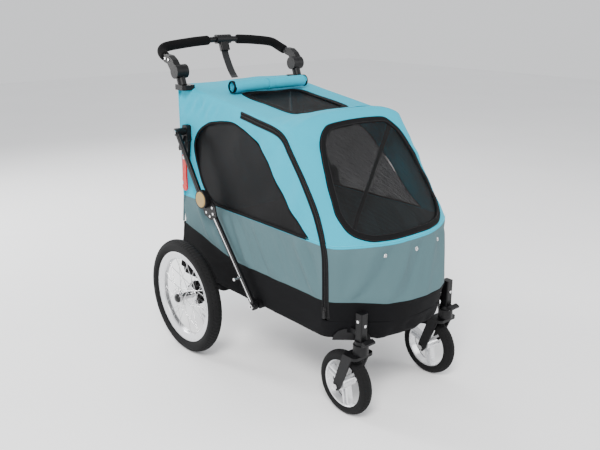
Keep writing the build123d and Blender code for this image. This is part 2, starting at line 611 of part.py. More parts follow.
# ---------------------------------------------------------------- side struts
KNEE_X = 290.0
for side, sx in (("right", -1), ("left", 1)):
    # upper strut, outboard, with the release housing at the knee
    du = Vector(0, PIVOT_MID[0] - PIVOT_UP[0], PIVOT_MID[1] - PIVOT_UP[1])
    with BuildPart() as strut_upper:
        mid = sx * 291.0
        with BuildSketch(Plane(origin=Vector(mid, *PIVOT_UP) + du * 0.02, z_dir=du)):
            RectangleRounded(18, 14, 5)
        extrude(amount=du.length * 0.9)
        with BuildSketch(Plane.YZ.offset(284 if sx > 0 else -298)):
            with Locations(PIVOT_UP):
                Circle(13)
        extrude(amount=14)
        with BuildSketch(Plane.YZ.offset(282.4 if sx > 0 else -297)):
            with Locations(PIVOT_MID):
                Circle(31)
        extrude(amount=14.6)
        with BuildSketch(Plane.YZ.offset(287 if sx > 0 else -301)):
            with Locations(PIVOT_MID):
                Circle(26.3)
        extrude(amount=14, mode=Mode.SUBTRACT)
        with BuildSketch(Plane.YZ.offset(280 if sx > 0 else -302)):
            with Locations(PIVOT_UP):
                Circle(4.1)
        extrude(amount=22, mode=Mode.SUBTRACT)
    strut_upper.part.label = "strut_upper_" + side
    export_step(strut_upper.part, "parts/strut_upper_" + side + ".step")

    with BuildPart() as release_button:
        with BuildSketch(Plane.YZ.offset(292 if sx > 0 else -299)):
            with Locations(PIVOT_MID):
                Circle(26)
        extrude(amount=7)
        fillet(release_button.edges().filter_by(GeomType.CIRCLE).sort_by(Axis.X)[-1 if sx > 0 else 0], 2)
    release_button.part.label = "release_button_" + side
    export_step(release_button.part, "parts/release_button_" + side + ".step")

    # lower strut, inboard, with the lobed knee plate
    dl = Vector(0, PIVOT_MID[0] - PIVOT_LOW[0], PIVOT_MID[1] - PIVOT_LOW[1])
    with BuildPart() as strut_lower:
        with BuildSketch(Plane(origin=Vector(sx * 272.5, *PIVOT_LOW) + dl * 0.01, z_dir=dl)):
            RectangleRounded(18, 14, 5)
        extrude(amount=dl.length * 0.93)
        with BuildSketch(Plane.YZ.offset(265.5 if sx > 0 else -279.5)):
            with Locations(PIVOT_LOW):
                Circle(13)
        extrude(amount=14)
        with BuildSketch(Plane.YZ.offset(276 if sx > 0 else -280.2)):
            with Locations(PIVOT_MID):
                Circle(27)
            with BuildLine():
                Polyline((fy(-98), 574), (fy(-54), 540), (fy(-72), 500), (fy(-108), 490), (fy(-140), 508), (fy(-132), 540), close=True)
            make_face()
        extrude(amount=4.2)
        with BuildSketch(Plane.YZ.offset(264 if sx > 0 else -286)):
            with Locations(PIVOT_LOW):
                Circle(4.1)
        extrude(amount=22, mode=Mode.SUBTRACT)
    strut_lower.part.label = "strut_lower_" + side
    export_step(strut_lower.part, "parts/strut_lower_" + side + ".step")

    # rivets of the knee plate and the headed stud that the hook catches
    with BuildPart() as strut_rivets:
        for y, z in ((-84, 512), (-104, 502), (-122, 514), (-118, 534)):
            with BuildSketch(Plane.YZ.offset(280.3 if sx > 0 else -282.2)):
                with Locations((fy(y), z)):
                    Circle(4.2)
            extrude(amount=1.9)
        with BuildSketch(Plane.YZ.offset(279.6 if sx > 0 else -303)):
            with Locations((fy(-262), 334)):
                Circle(3)
        extrude(amount=23.4)
        with BuildSketch(Plane.YZ.offset(302 if sx > 0 else -305)):
            with Locations((fy(-262), 334)):
                Circle(5)
        extrude(amount=3)
    strut_rivets.part.label = "strut_rivets_" + side
    export_step(strut_rivets.part, "parts/strut_rivets_" + side + ".step")

# ---------------------------------------------------------------- transport hook
with BuildPart() as transport_hook:
    with BuildSketch(Plane.YZ.offset(-262.4)):
        with BuildLine():
            Polyline((fy(62), 679), (fy(68), 682), (fy(76), 681), (fy(81), 674), (fy(84), 604), (fy(87), 588), (fy(80), 580), (fy(81), 573), (fy(88), 569), (fy(86), 557), (fy(78), 551), (fy(66), 552), (fy(60), 560), (fy(61), 600), (fy(58), 668), close=True)
        make_face()
        with Locations(PIVOT_HOOK):
            Circle(3.2, mode=Mode.SUBTRACT)
    extrude(amount=5)
transport_hook.part.label = "transport_hook"
export_step(transport_hook.part, "parts/transport_hook.step")

# ---------------------------------------------------------------- front hoop
with BuildPart() as front_hoop:
    HOOP = [(-184, PIVOT_HOOP[0], 375), (-186, fy(-318), 452), (-205, fy(-434), 788), (-184, fy(-448), 826), (-112, fy(-455), 848), (112, fy(-455), 848), (184, fy(-448), 826), (205, fy(-434), 788), (186, fy(-318), 452), (184, PIVOT_HOOP[0], 375)]
    with BuildLine() as hoop_path:
        FilletPolyline(*HOOP, radius=[60, 60, 26, 60, 60, 26, 60, 60])
    with BuildSketch(Plane(origin=hoop_path.line @ 0, z_dir=hoop_path.line % 0)):
        Circle(7)
    sweep(path=hoop_path.line)
    for sx in (-1, 1):
        with BuildSketch(Plane.YZ.offset(sx * 184 - 7)):
            with Locations(PIVOT_HOOP):
                Circle(11)
        extrude(amount=14)
        with BuildSketch(Plane.YZ.offset(sx * 184 - 12)):
            with Locations(PIVOT_HOOP):
                Circle(4.1)
        extrude(amount=24, mode=Mode.SUBTRACT)
front_hoop.part.label = "front_hoop"
export_step(front_hoop.part, "parts/front_hoop.step")

# ---------------------------------------------------------------- handlebar
H = [(-262, fy(96), 961), (-262, fy(122), 988), (-259, fy(150), 993), (-256, fy(190), 1008), (-238, fy(204), 1024), (-120, fy(197), 1038), (0, fy(195), 1045), (120, fy(197), 1038), (238, fy(204), 1024), (256, fy(190), 1008), (259, fy(150), 993), (262, fy(122), 988), (262, fy(96), 961)]
with BuildPart() as handle_tube:
    with BuildLine() as bar_path:
        FilletPolyline(*H, radius=[12, 40, 30, 14, 120, 200, 120, 14, 30, 40, 12])
    with BuildSketch(Plane(origin=bar_path.line @ 0, z_dir=bar_path.line % 0)):
        Circle(10)
    sweep(path=bar_path.line)
handle_tube.part.label = "handle_tube"
export_step(handle_tube.part, "parts/handle_tube.step")

with BuildPart() as grips:
    for sx in (-1, 1):
        G = [(sx * 258.4, fy(158), 996), (sx * 256, fy(190), 1008), (sx * 238, fy(204), 1024), (sx * 120, fy(197), 1038), (sx * 60, fy(196), 1041.5)]
        with BuildLine() as grip_path:
            FilletPolyline(*G, radius=[30, 14, 120])
        with BuildSketch(Plane(origin=grip_path.line @ 0, z_dir=grip_path.line % 0)):
            Circle(16.5)
        sweep(path=grip_path.line)
    with BuildLine() as bar_path2:
        FilletPolyline(*H, radius=[12, 40, 30, 14, 120, 200, 120, 14, 30, 40, 12])
    with BuildSketch(Plane(origin=bar_path2.line @ 0, z_dir=bar_path2.line % 0)):
        Circle(10.05)
    sweep(path=bar_path2.line, mode=Mode.SUBTRACT)
grips.part.label = "grips"
export_step(grips.part, "parts/grips.step")

# arms: outer half of the tilt discs and the flat arms riveted to the bar
with BuildPart() as handle_arms:
    for sx in (-1, 1):
        with BuildSketch(Plane.YZ.offset(250.2 if sx > 0 else -273)):
            with Locations(PIVOT_HANDLE):
                Circle(23)
        extrude(amount=22.8)
        with BuildSketch(Plane.YZ.offset(250.2 if sx > 0 else -273)):
            with BuildLine():
                Polyline((fy(72), 962), (fy(96), 990), (fy(118), 1003), (fy(146), 1006), (fy(150), 982), (fy(128), 976), (fy(106), 950), close=True)
            make_face()
        extrude(amount=22.8)
        with BuildSketch(Plane.YZ.offset(248 if sx > 0 else -268.4)):
            with Locations(PIVOT_HANDLE):
                Circle(7.1)
        extrude(amount=20.4, mode=Mode.SUBTRACT)
    add(handle_tube.part, mode=Mode.SUBTRACT)
handle_arms.part.label = "handle_arms"
export_step(handle_arms.part, "parts/handle_arms.step")

with BuildPart() as handle_rivets:
    for sx in (-1, 1):
        for y, z in ((118, 990), (138, 993)):
            with BuildSketch(Plane.YZ.offset(273.1 if sx > 0 else -275.3)):
                with Locations((fy(y), z)):
                    Circle(4.2)
            extrude(amount=2.2)
handle_rivets.part.label = "handle_rivets"
export_step(handle_rivets.part, "parts/handle_rivets.step")

with BuildPart() as centre_sleeve:
    with BuildSketch(Plane.YZ.offset(-30)):
        with Locations((fy(195.4), 1043.5)):
            Circle(16)
    extrude(amount=60)
    with BuildSketch(Plane(origin=(0, fy(195.4), 1043.5), x_dir=(1, 0, 0), z_dir=(0, -0.35, -1))):
        RectangleRounded(36, 20, 6)
    extrude(amount=42)
    with BuildLine() as bar_path3:
        FilletPolyline(*H, radius=[12, 40, 30, 14, 120, 200, 120, 14, 30, 40, 12])
    with BuildSketch(Plane(origin=bar_path3.line @ 0, z_dir=bar_path3.line % 0)):
        Circle(10.05)
    sweep(path=bar_path3.line, mode=Mode.SUBTRACT)
centre_sleeve.part.label = "centre_sleeve"
export_step(centre_sleeve.part, "parts/centre_sleeve.step")

with BuildPart() as handle_strap:
    with BuildSketch(Plane.YZ.offset(-15)):
        with BuildLine():
            Polyline((fy(182.5), 1000.5), (fy(168), 968), (fy(150), 938), (fy(126), 913), (fy(129), 911), (fy(152.6), 936.6), (fy(170.8), 967), (fy(185.2), 999.5), close=True)
        make_face()
    extrude(amount=30)
handle_strap.part.label = "handle_strap"
export_step(handle_strap.part, "parts/handle_strap.step")

# ---------------------------------------------------------------- cloth
# everything hard that passes through the cloth at rest gets a slot
SLOTS = []
with BuildPart() as slots:
    for sx in (-1, 1):
        with BuildSketch(Plane.YZ.offset(230 if sx > 0 else -270)):
            with Locations((fy(58), 752)):
                Rectangle(33, 59)
            with Locations((PIVOT_LOW[0], 259)):
                Rectangle(37, 30)
        extrude(amount=40)
        with BuildSketch(Plane.XY.offset(892.5)):
            with Locations((sx * 241, fy(76))):
                Rectangle(50, 64)
        extrude(amount=60)
        with BuildSketch(Plane.XY.offset(266)):
            with Locations((sx * 189, fy(-680))):
                Rectangle(30, 60)
        extrude(amount=22)
        # clearance round the caster post
        with BuildSketch(Plane.XY.offset(240)):
            with Locations((sx * CASTER_X, CASTER_Y)):
                Rectangle(28, 28.5)
        extrude(amount=104)
SLOT_BODY = slots.part

with BuildPart() as tub:
    add(SKIN_BODY)
    with BuildSketch(Plane.YZ.offset(-400)):
        with BuildLine():
            Polyline(*TUB_TOP, (fy(300), 200), (fy(-900), 200), close=True)
        make_face()
    extrude(amount=800, mode=Mode.INTERSECT)
    # rear pocket under the floor, hanging lower than the rest
    with BuildSketch(Plane.XY.offset(221)):
        with Locations((0, fy(21))):
            Rectangle(490, 256)
    extrude(amount=26)
    with BuildSketch(Plane.XY.offset(221 + SKIN)):
        with Locations((0, fy(21))):
            Rectangle(490 - 2 * SKIN, 256 - 2 * SKIN)
    extrude(amount=26, mode=Mode.SUBTRACT)
    add(DOOR_SPACE, mode=Mode.SUBTRACT)
    add(SLOT_BODY, mode=Mode.SUBTRACT)
tub.part.label = "tub"
export_step(tub.part, "parts/tub.step")

with BuildPart() as side_band:
    add(SKIN_BODY)
    with BuildSketch(Plane.YZ.offset(-400)):
        with BuildLine():
            Polyline(*[(y, z + 0.6) for y, z in TUB_TOP], (fy(300), SEAM_Z - 0.4), (fy(-900), SEAM_Z - 0.4), close=True)
        make_face()
    extrude(amount=800, mode=Mode.INTERSECT)
    add(DOOR_SPACE, mode=Mode.SUBTRACT)
    with BuildSketch(Plane.XZ.offset(-fy(98))):
        with Locations((0, 560)):
            Rectangle(480, 340)
    extrude(amount=-60, mode=Mode.SUBTRACT)
side_band.part.label = "side_band"
export_step(side_band.part, "parts/side_band.step")

with BuildPart() as canopy:
    add(SKIN_BODY)
    with BuildSketch(Plane.XY.offset(SEAM_Z + 0.4)):
        Rectangle(800, 2000)
    extrude(amount=500, mode=Mode.INTERSECT)
    add(DOOR_SPACE, mode=Mode.SUBTRACT)
    add(SLOT_BODY, mode=Mode.SUBTRACT)
    add(uprights.part, mode=Mode.SUBTRACT)
    with BuildSketch(Plane.YZ.offset(-400)):
        with BuildLine():
            Polyline(*SIDE_WINDOW, close=True)
        make_face()
    extrude(amount=800, mode=Mode.SUBTRACT)
    with BuildSketch(Plane.XY.offset(780)):
        with Locations((0, fy(-205))):
            RectangleRounded(232, 270, 12)
    extrude(amount=200, mode=Mode.SUBTRACT)
    # the back is its own panel
    with BuildSketch(Plane.XZ.offset(-fy(98))):
        with Locations((0, 560)):
            Rectangle(480, 680)
    extrude(amount=-60, mode=Mode.SUBTRACT)
canopy.part.label = "canopy"
export_step(canopy.part, "parts/canopy.step")

with BuildPart() as rear_panel:
    add(SKIN_BODY)
    with BuildSketch(Plane.XZ.offset(-fy(99.5))):
        with Locations((0, 662.25)):
            Rectangle(476, 471.5)
    extrude(amount=-60, mode=Mode.INTERSECT)
    add(SLOT_BODY, mode=Mode.SUBTRACT)
rear_panel.part.label = "rear_panel"
export_step(rear_panel.part, "parts/rear_panel.step")

with BuildPart() as side_windows:
    add(SKIN_BODY)
    with BuildSketch(Plane.YZ.offset(-400)):
        with BuildLine():
            Polyline(*SIDE_WINDOW, close=True)
        make_face()
        offset(amount=-0.8)
    extrude(amount=800, mode=Mode.INTERSECT)
side_windows.part.label = "side_windows"
export_step(side_windows.part, "parts/side_windows.step")

with BuildPart() as top_window:
    add(SKIN_BODY)
    with BuildSketch(Plane.XY.offset(780)):
        with Locations((0, fy(-205))):
            RectangleRounded(230.4, 268.4, 11)
    extrude(amount=200, mode=Mode.INTERSECT)
top_window.part.label = "top_window"
export_step(top_window.part, "parts/top_window.step")

with BuildPart() as door_panel:
    add(SKIN_BODY)
    add(DOOR_INNER, mode=Mode.INTERSECT)
    add(SLOT_BODY, mode=Mode.SUBTRACT)
    with BuildSketch(Plane.XZ.offset(1200)):
        with BuildLine():
            Polyline(*FRONT_WINDOW, close=True)
        make_face()
    extrude(amount=-1200 + 80, mode=Mode.SUBTRACT)
door_panel.part.label = "door_panel"
export_step(door_panel.part, "parts/door_panel.step")

with BuildPart() as front_window:
    add(SKIN_BODY)
    add(DOOR_INNER, mode=Mode.INTERSECT)
    with BuildSketch(Plane.XZ.offset(1200)):
        with BuildLine():
            Polyline(*FRONT_WINDOW, close=True)
        make_face()
        offset(amount=-0.8)
    extrude(amount=-1200 + 80, mode=Mode.INTERSECT)
front_window.part.label = "front_window"
export_step(front_window.part, "parts/front_window.step")

with BuildPart() as door_snaps:
    for x, y, z in ((-113, -718, 497), (0, -745, 497), (113, -718, 497)):
        nx = math.sin(math.radians(x * 0.28))
        with BuildSketch(Plane(origin=(x, fy(y), z), z_dir=(nx, -math.sqrt(1 - nx * nx), 0))):
            Circle(6)
        extrude(amount=8)
    add(OUTER, mode=Mode.SUBTRACT)
door_snaps.part.label = "door_snaps"
export_step(door_snaps.part, "parts/door_snaps.step")

with BuildPart() as zipper_tapes:
    add(TAPE_OUT)
    add(TAPE_IN, mode=Mode.SUBTRACT)
    add(TAPE_ROOF, mode=Mode.INTERSECT)
    with BuildSketch(Plane.YZ.offset(-400)):
        with BuildLine():
            Polyline((fy(-218), 842), (fy(-296), 829), (fy(-376), 817), (fy(-415), 803), *ZIP[1:-1], (fy(-628), 300), (fy(-604), 300), (fy(-604), 470), (fy(-601), 520), (fy(-583), 552), (fy(-550), 610), (fy(-500), 680), (fy(-442), 748), (fy(-404), 782), (fy(-370), 795), (fy(-296), 807), (fy(-218), 820), close=True)
        make_face()
    extrude(amount=800, mode=Mode.INTERSECT)
    with BuildSketch(Plane.YZ.offset(-150)):
        Rectangle(2000, 3000)
    extrude(amount=300, mode=Mode.SUBTRACT)
zipper_tapes.part.label = "zipper_tapes"
export_step(zipper_tapes.part, "parts/zipper_tapes.step")

with BuildPart() as cover_roll:
    with BuildSketch(Plane.YZ.offset(-157)):
        with Locations((fy(-71), 908.5)):
            Circle(20)
    extrude(amount=314)
    with BuildSketch(Plane.YZ.offset(-12)):
        with Locations((fy(-71), 908.5)):
            Circle(21.6)
            Circle(20.3, mode=Mode.SUBTRACT)
    extrude(amount=24)
cover_roll.part.label = "cover_roll"
export_step(cover_roll.part, "parts/cover_roll.step")

# rivets of the caster posts
with BuildPart() as base_rivets:
    for sx in (-1, 1):
        with BuildSketch(Plane.XZ.offset(-(CASTER_Y - 13.1))):
            with Locations((sx * CASTER_X, 305)):
                Circle(4.4)
        extrude(amount=2.4)
        with BuildSketch(Plane.YZ.offset(sx * (CASTER_X + 13.1) - (2.4 if sx < 0 else 0))):
            with Locations((CASTER_Y, 318)):
                Circle(4.4)
        extrude(amount=2.4)
        with BuildSketch(Plane.YZ.offset(282 if sx > 0 else -286)):
            with Locations(PIVOT_LOW):
                Circle(8)
            with Locations(PIVOT_LOW):
                Circle(4.05, mode=Mode.SUBTRACT)
        extrude(amount=4)
base_rivets.part.label = "base_rivets"
export_step(base_rivets.part, "parts/base_rivets.step")

print(len(os.listdir("parts")), "pieces")
for name in (door_panel, tub, handle_tube, grips, rear_axle):
    box = name.part.bounding_box()
    print(name.part.label, box.min, box.max)
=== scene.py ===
import bpy
import bmesh
import json
import math
import random
import numpy as np
from mathutils import Vector, Matrix
from mathutils import noise as mnoise
from mathutils.geometry import delaunay_2d_cdt


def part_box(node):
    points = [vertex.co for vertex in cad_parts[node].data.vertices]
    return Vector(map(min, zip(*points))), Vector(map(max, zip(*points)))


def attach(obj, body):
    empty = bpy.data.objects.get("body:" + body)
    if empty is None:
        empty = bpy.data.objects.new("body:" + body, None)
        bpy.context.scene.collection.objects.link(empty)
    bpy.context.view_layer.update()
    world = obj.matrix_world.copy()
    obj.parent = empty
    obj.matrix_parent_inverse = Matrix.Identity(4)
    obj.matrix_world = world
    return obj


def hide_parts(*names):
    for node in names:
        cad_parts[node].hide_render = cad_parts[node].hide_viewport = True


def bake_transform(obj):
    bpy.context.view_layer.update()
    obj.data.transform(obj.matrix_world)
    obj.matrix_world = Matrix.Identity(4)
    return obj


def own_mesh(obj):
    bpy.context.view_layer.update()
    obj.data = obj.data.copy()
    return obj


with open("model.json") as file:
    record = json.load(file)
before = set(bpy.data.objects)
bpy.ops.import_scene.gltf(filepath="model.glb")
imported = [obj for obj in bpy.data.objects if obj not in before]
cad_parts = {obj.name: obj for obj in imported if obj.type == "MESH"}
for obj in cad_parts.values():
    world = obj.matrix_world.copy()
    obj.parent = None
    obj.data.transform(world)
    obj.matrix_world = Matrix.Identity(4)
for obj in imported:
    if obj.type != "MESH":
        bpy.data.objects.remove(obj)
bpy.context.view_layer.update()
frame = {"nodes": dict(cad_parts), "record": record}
NODES = frame["nodes"]
AX = 282.914          # rear axle behind the origin, mm
MM = 0.001
random.seed(7)


def fy(v):
    return v + AX


# =====================================================================
# materials
# =====================================================================
def _nodes(name):
    m = bpy.data.materials.new(name)
    m.use_nodes = True
    nt = m.node_tree
    b = nt.nodes["Principled BSDF"]
    return m, nt, b


def _add(nt, kind, **inputs):
    n = nt.nodes.new(kind)
    for k, v in inputs.items():
        n.inputs[k].default_value = v
    return n


def _math(nt, op, a, b=None):
    n = nt.nodes.new("ShaderNodeMath")
    n.operation = op
    for i, v in enumerate((a, b)):
        if v is None:
            continue
        if isinstance(v, (int, float)):
            n.inputs[i].default_value = v
        else:
            nt.links.new(v, n.inputs[i])
    return n.outputs[0]


def _coord(nt):
    return nt.nodes.new("ShaderNodeTexCoord").outputs["Object"]


def _noise(nt, vec, scale, detail=3.0, rough=0.55, distortion=0.0):
    n = nt.nodes.new("ShaderNodeTexNoise")
    n.inputs["Scale"].default_value = scale
    n.inputs["Detail"].default_value = detail
    n.inputs["Roughness"].default_value = rough
    n.inputs["Distortion"].default_value = distortion
    nt.links.new(vec, n.inputs["Vector"])
    return n.outputs["Fac"]


def _ramp(nt, fac, stops):
    r = nt.nodes.new("ShaderNodeValToRGB")
    r.color_ramp.elements[0].position = stops[0][0]
    r.color_ramp.elements[0].color = (*stops[0][1], 1)
    r.color_ramp.elements[1].position = stops[-1][0]
    r.color_ramp.elements[1].color = (*stops[-1][1], 1)
    for p, c in stops[1:-1]:
        e = r.color_ramp.elements.new(p)
        e.color = (*c, 1)
    nt.links.new(fac, r.inputs["Fac"])
    return r.outputs["Color"]


def _range(nt, fac, lo, hi, a=0.0, b=1.0):
    n = nt.nodes.new("ShaderNodeMapRange")
    n.inputs["From Min"].default_value = a
    n.inputs["From Max"].default_value = b
    n.inputs["To Min"].default_value = lo
    n.inputs["To Max"].default_value = hi
    nt.links.new(fac, n.inputs["Value"])
    return n.outputs["Result"]


def _mixc(nt, fac, a, b, blend="MIX"):
    n = nt.nodes.new("ShaderNodeMix")
    n.data_type = "RGBA"
    n.blend_type = blend
    for sock, v in ((n.inputs[0], fac), (n.inputs[6], a), (n.inputs[7], b)):
        if isinstance(v, (int, float)):
            sock.default_value = v
        elif isinstance(v, tuple):
            sock.default_value = (*v, 1)
        else:
            nt.links.new(v, sock)
    return n.outputs[2]


def _bump(nt, b, height, strength, dist):
    n = nt.nodes.new("ShaderNodeBump")
    n.inputs["Strength"].default_value = strength
    n.inputs["Distance"].default_value = dist
    nt.links.new(height, n.inputs["Height"])
    nt.links.new(n.outputs["Normal"], b.inputs["Normal"])


def shade(c, k):
    return tuple(max(0.0, min(1.0, v * k)) for v in c)


def cloth_mat(name, col, weave=1.1, rough=0.82, sheen=0.25, depth=0.0005, mottle=0.10, heather=0.05):
    """Plain woven polyester: a two-way weave, slight heather and soft mottling."""
    m, nt, b = _nodes(name)
    vec = _coord(nt)
    k = nt.nodes.new("ShaderNodeVectorMath")
    k.operation = "SCALE"
    k.inputs["Scale"].default_value = 2 * math.pi / (weave * MM)
    nt.links.new(vec, k.inputs[0])
    sep = nt.nodes.new("ShaderNodeSeparateXYZ")
    nt.links.new(k.outputs[0], sep.inputs[0])
    s = [_math(nt, "SINE", sep.outputs[i]) for i in range(3)]
    wv = _math(nt, "ADD", _math(nt, "ADD", s[0], s[1]), s[2])
    wv = _range(nt, wv, 0.0, 1.0, -2.0, 2.0)
    big = _noise(nt, vec, 5.0, 4.0)
    fine = _noise(nt, vec, 700.0, 2.0)
    c = _ramp(nt, big, [(0.3, shade(col, 1 - mottle)), (0.7, shade(col, 1 + mottle * 0.6))])
    c = _mixc(nt, heather, c, _ramp(nt, fine, [(0.35, shade(col, 0.55)), (0.65, shade(col, 1.5))]))
    c = _mixc(nt, _range(nt, wv, 0.0, 0.18), c, shade(col, 0.55))
    nt.links.new(c, b.inputs["Base Color"])
    nt.links.new(_range(nt, fine, rough - 0.08, rough + 0.08), b.inputs["Roughness"])
    b.inputs["Sheen Weight"].default_value = sheen
    b.inputs["Sheen Roughness"].default_value = 0.45
    b.inputs["Specular IOR Level"].default_value = 0.12
    h = _math(nt, "ADD", _math(nt, "MULTIPLY", wv, 0.7), _math(nt, "MULTIPLY", fine, 0.5))
    _bump(nt, b, h, 0.55, depth)
    return m


def mesh_mat(name, axes, period=2.6, thread=0.42, col=(0.012, 0.012, 0.013)):
    """Open net: threads both ways, real holes between them."""
    m, nt, b = _nodes(name)
    vec = _coord(nt)
    sep = nt.nodes.new("ShaderNodeSeparateXYZ")
    nt.links.new(vec, sep.inputs[0])
    masks = []
    waves = []
    for ax in axes:
        v = _math(nt, "FRACT", _math(nt, "MULTIPLY", sep.outputs[ax], 1.0 / (period * MM)))
        v = _math(nt, "ABSOLUTE", _math(nt, "SUBTRACT", v, 0.5))
        masks.append(_math(nt, "GREATER_THAN", v, 0.5 - thread / 2))
        waves.append(v)
    alpha = _math(nt, "MAXIMUM", masks[0], masks[1])
    nt.links.new(alpha, b.inputs["Alpha"])
    big = _noise(nt, vec, 9.0, 3.0)
    nt.links.new(_ramp(nt, big, [(0.3, shade(col, 0.75)), (0.7, shade(col, 1.6))]), b.inputs["Base Color"])
    nt.links.new(_range(nt, _noise(nt, vec, 500.0), 0.5, 0.75), b.inputs["Roughness"])
    b.inputs["Specular IOR Level"].default_value = 0.15
    _bump(nt, b, _math(nt, "MAXIMUM", waves[0], waves[1]), 0.6, 0.0006)
    return m


def web_mat(name, col=(0.0035, 0.0035, 0.004), rib=1.6, axis=2):
    """Woven tape or webbing with a fine rib across it."""
    m, nt, b = _nodes(name)
    vec = _coord(nt)
    k = nt.nodes.new("ShaderNodeVectorMath")
    k.operation = "SCALE"
    k.inputs["Scale"].default_value = 2 * math.pi / (rib * MM)
    nt.links.new(vec, k.inputs[0])
    sep = nt.nodes.new("ShaderNodeSeparateXYZ")
    nt.links.new(k.outputs[0], sep.inputs[0])
    a = _math(nt, "SINE", _math(nt, "ADD", sep.outputs[axis], sep.outputs[1]))
    c2 = _math(nt, "SINE", _math(nt, "SUBTRACT", sep.outputs[axis], sep.outputs[0]))
    w = _range(nt, _math(nt, "ADD", a, c2), 0.0, 1.0, -2.0, 2.0)
    fine = _noise(nt, vec, 900.0, 2.0)
    c = _mixc(nt, w, shade(col, 0.7), shade(col, 1.9))
    c = _mixc(nt, _range(nt, fine, 0.0, 0.3), c, shade(col, 2.6))
    nt.links.new(c, b.inputs["Base Color"])
    nt.links.new(_range(nt, fine, 0.7, 0.9), b.inputs["Roughness"])
    b.inputs["Sheen Weight"].default_value = 0.2
    b.inputs["Specular IOR Level"].default_value = 0.3
    _bump(nt, b, w, 0.5, 0.0004)
    return m


def hard_mat(name, col, rough, metal=0.0, grain=600.0, grain_d=0.00012, strength=0.35, spec=0.5, coat=0.0, wear=0.08, streak=None):
    """Moulded plastic, powder coat, metal or rubber: fine grain, slight tone and roughness changes, colour lighter in
    patches on convex edges.
    """
    m, nt, b = _nodes(name)
    vec = _coord(nt)
    src = vec
    if streak:
        mp = nt.nodes.new("ShaderNodeMapping")
        mp.inputs["Scale"].default_value = streak
        nt.links.new(vec, mp.inputs["Vector"])
        src = mp.outputs["Vector"]
    big = _noise(nt, vec, 14.0, 4.0)
    fine = _noise(nt, src, grain, 3.0, 0.6)
    c = _ramp(nt, big, [(0.3, shade(col, 1 - wear)), (0.72, shade(col, 1 + wear))])
    geo = nt.nodes.new("ShaderNodeNewGeometry")
    # colour lighter in noisy patches on convex edges, from the pointiness
    edge = _range(nt, geo.outputs["Pointiness"], 0.0, 0.55, 0.52, 0.62)
    edge = _math(nt, "MULTIPLY", edge, _range(nt, _noise(nt, vec, 60.0), 0.2, 1.0, 0.35, 0.7))
    c = _mixc(nt, edge, c, tuple(min(1.0, v * 1.7 + 0.002) for v in col))
    nt.links.new(c, b.inputs["Base Color"])
    nt.links.new(_range(nt, fine, max(0.02, rough - 0.07), min(1.0, rough + 0.07)), b.inputs["Roughness"])
    b.inputs["Metallic"].default_value = metal
    b.inputs["Specular IOR Level"].default_value = spec
    if coat:
        b.inputs["Coat Weight"].default_value = coat
        b.inputs["Coat Roughness"].default_value = 0.12
    _bump(nt, b, fine, strength, grain_d)
    return m


TEAL = (0.004, 0.365, 0.505)
M = {}
M["teal"] = cloth_mat("cloth_turquoise", TEAL, mottle=0.06, sheen=0.06)
M["band"] = cloth_mat("cloth_bluegrey", (0.072, 0.130, 0.145), mottle=0.07, rough=0.72, sheen=0.04)
M["tub"] = cloth_mat("cloth_black", (0.0032, 0.0033, 0.0040), mottle=0.2, rough=0.85, sheen=0.0, heather=0.12)
M["liner"] = cloth_mat("cloth_lining", (0.004, 0.060, 0.072), mottle=0.15, sheen=0.0)
M["mesh_side"] = mesh_mat("net_side", (1, 2), period=2.2, thread=0.56, col=(0.003, 0.003, 0.0035))
M["mesh_front"] = mesh_mat("net_front", (0, 2), period=3.0, thread=0.34, col=(0.006, 0.006, 0.0065))
M["mesh_top"] = mesh_mat("net_top", (0, 1), period=2.8, thread=0.36, col=(0.002, 0.002, 0.0025))
M["tape"] = web_mat("zipper_tape")
M["webbing"] = web_mat("strap_webbing", rib=2.2)
M["binding"] = cloth_mat("binding_black", (0.0035, 0.0035, 0.0040), weave=0.9, rough=0.78, mottle=0.15, sheen=0.0)
M["thread_teal"] = hard_mat("thread_turquoise", (0.10, 0.60, 0.70), 0.6, grain=1500)
M["thread_dark"] = hard_mat("thread_black", (0.02, 0.02, 0.022), 0.6, grain=1500)
M["cushion"] = cloth_mat("cushion_fleece", (0.010, 0.011, 0.012), weave=1.6, rough=0.95, sheen=0.12, depth=0.0012, mottle=0.2)
M["powder"] = hard_mat("black_powder_coat", (0.0035, 0.0035, 0.004), 0.40, grain=900, grain_d=0.00010, strength=0.3, spec=0.2)
M["plastic"] = hard_mat("black_moulded", (0.0040, 0.0040, 0.0045), 0.46, grain=1300, grain_d=0.00014, strength=0.4, spec=0.2)
M["plastic_gloss"] = hard_mat("black_satin", (0.0038, 0.0038, 0.0043), 0.32, grain=700, strength=0.15, spec=0.3)
M["steel"] = hard_mat("zinc_steel", (0.60, 0.60, 0.61), 0.24, metal=1.0, grain=260, grain_d=0.00004, strength=0.2, wear=0.05)
M["rim"] = hard_mat("rim_silver", (0.66, 0.67, 0.69), 0.28, metal=0.85, grain=300, grain_d=0.00003, strength=0.15, wear=0.04, coat=0.3)
M["rim_white"] = hard_mat("caster_rim_silver", (0.70, 0.71, 0.73), 0.26, metal=0.45, grain=500, grain_d=0.00004, strength=0.15, wear=0.03, coat=0.45)
M["tyre"] = hard_mat("tyre_rubber", (0.0042, 0.0042, 0.0046), 0.80, grain=500, grain_d=0.00025, strength=0.5, spec=0.2, wear=0.22)
M["foam"] = hard_mat("foam_rubber", (0.0030, 0.0030, 0.0033), 0.95, grain=1100, grain_d=0.0006, strength=0.8, spec=0.12, wear=0.15)
M["red"] = hard_mat("red_moulded", (0.40, 0.002, 0.002), 0.40, grain=700, grain_d=0.00008, strength=0.2, wear=0.05)
M["sand"] = hard_mat("sand_moulded", (0.30, 0.195, 0.060), 0.50, grain=900, grain_d=0.0001, strength=0.3, wear=0.05)
M["board"] = hard_mat("pressed_board", (0.02, 0.02, 0.022), 0.6, grain=120, grain_d=0.0003, strength=0.4)
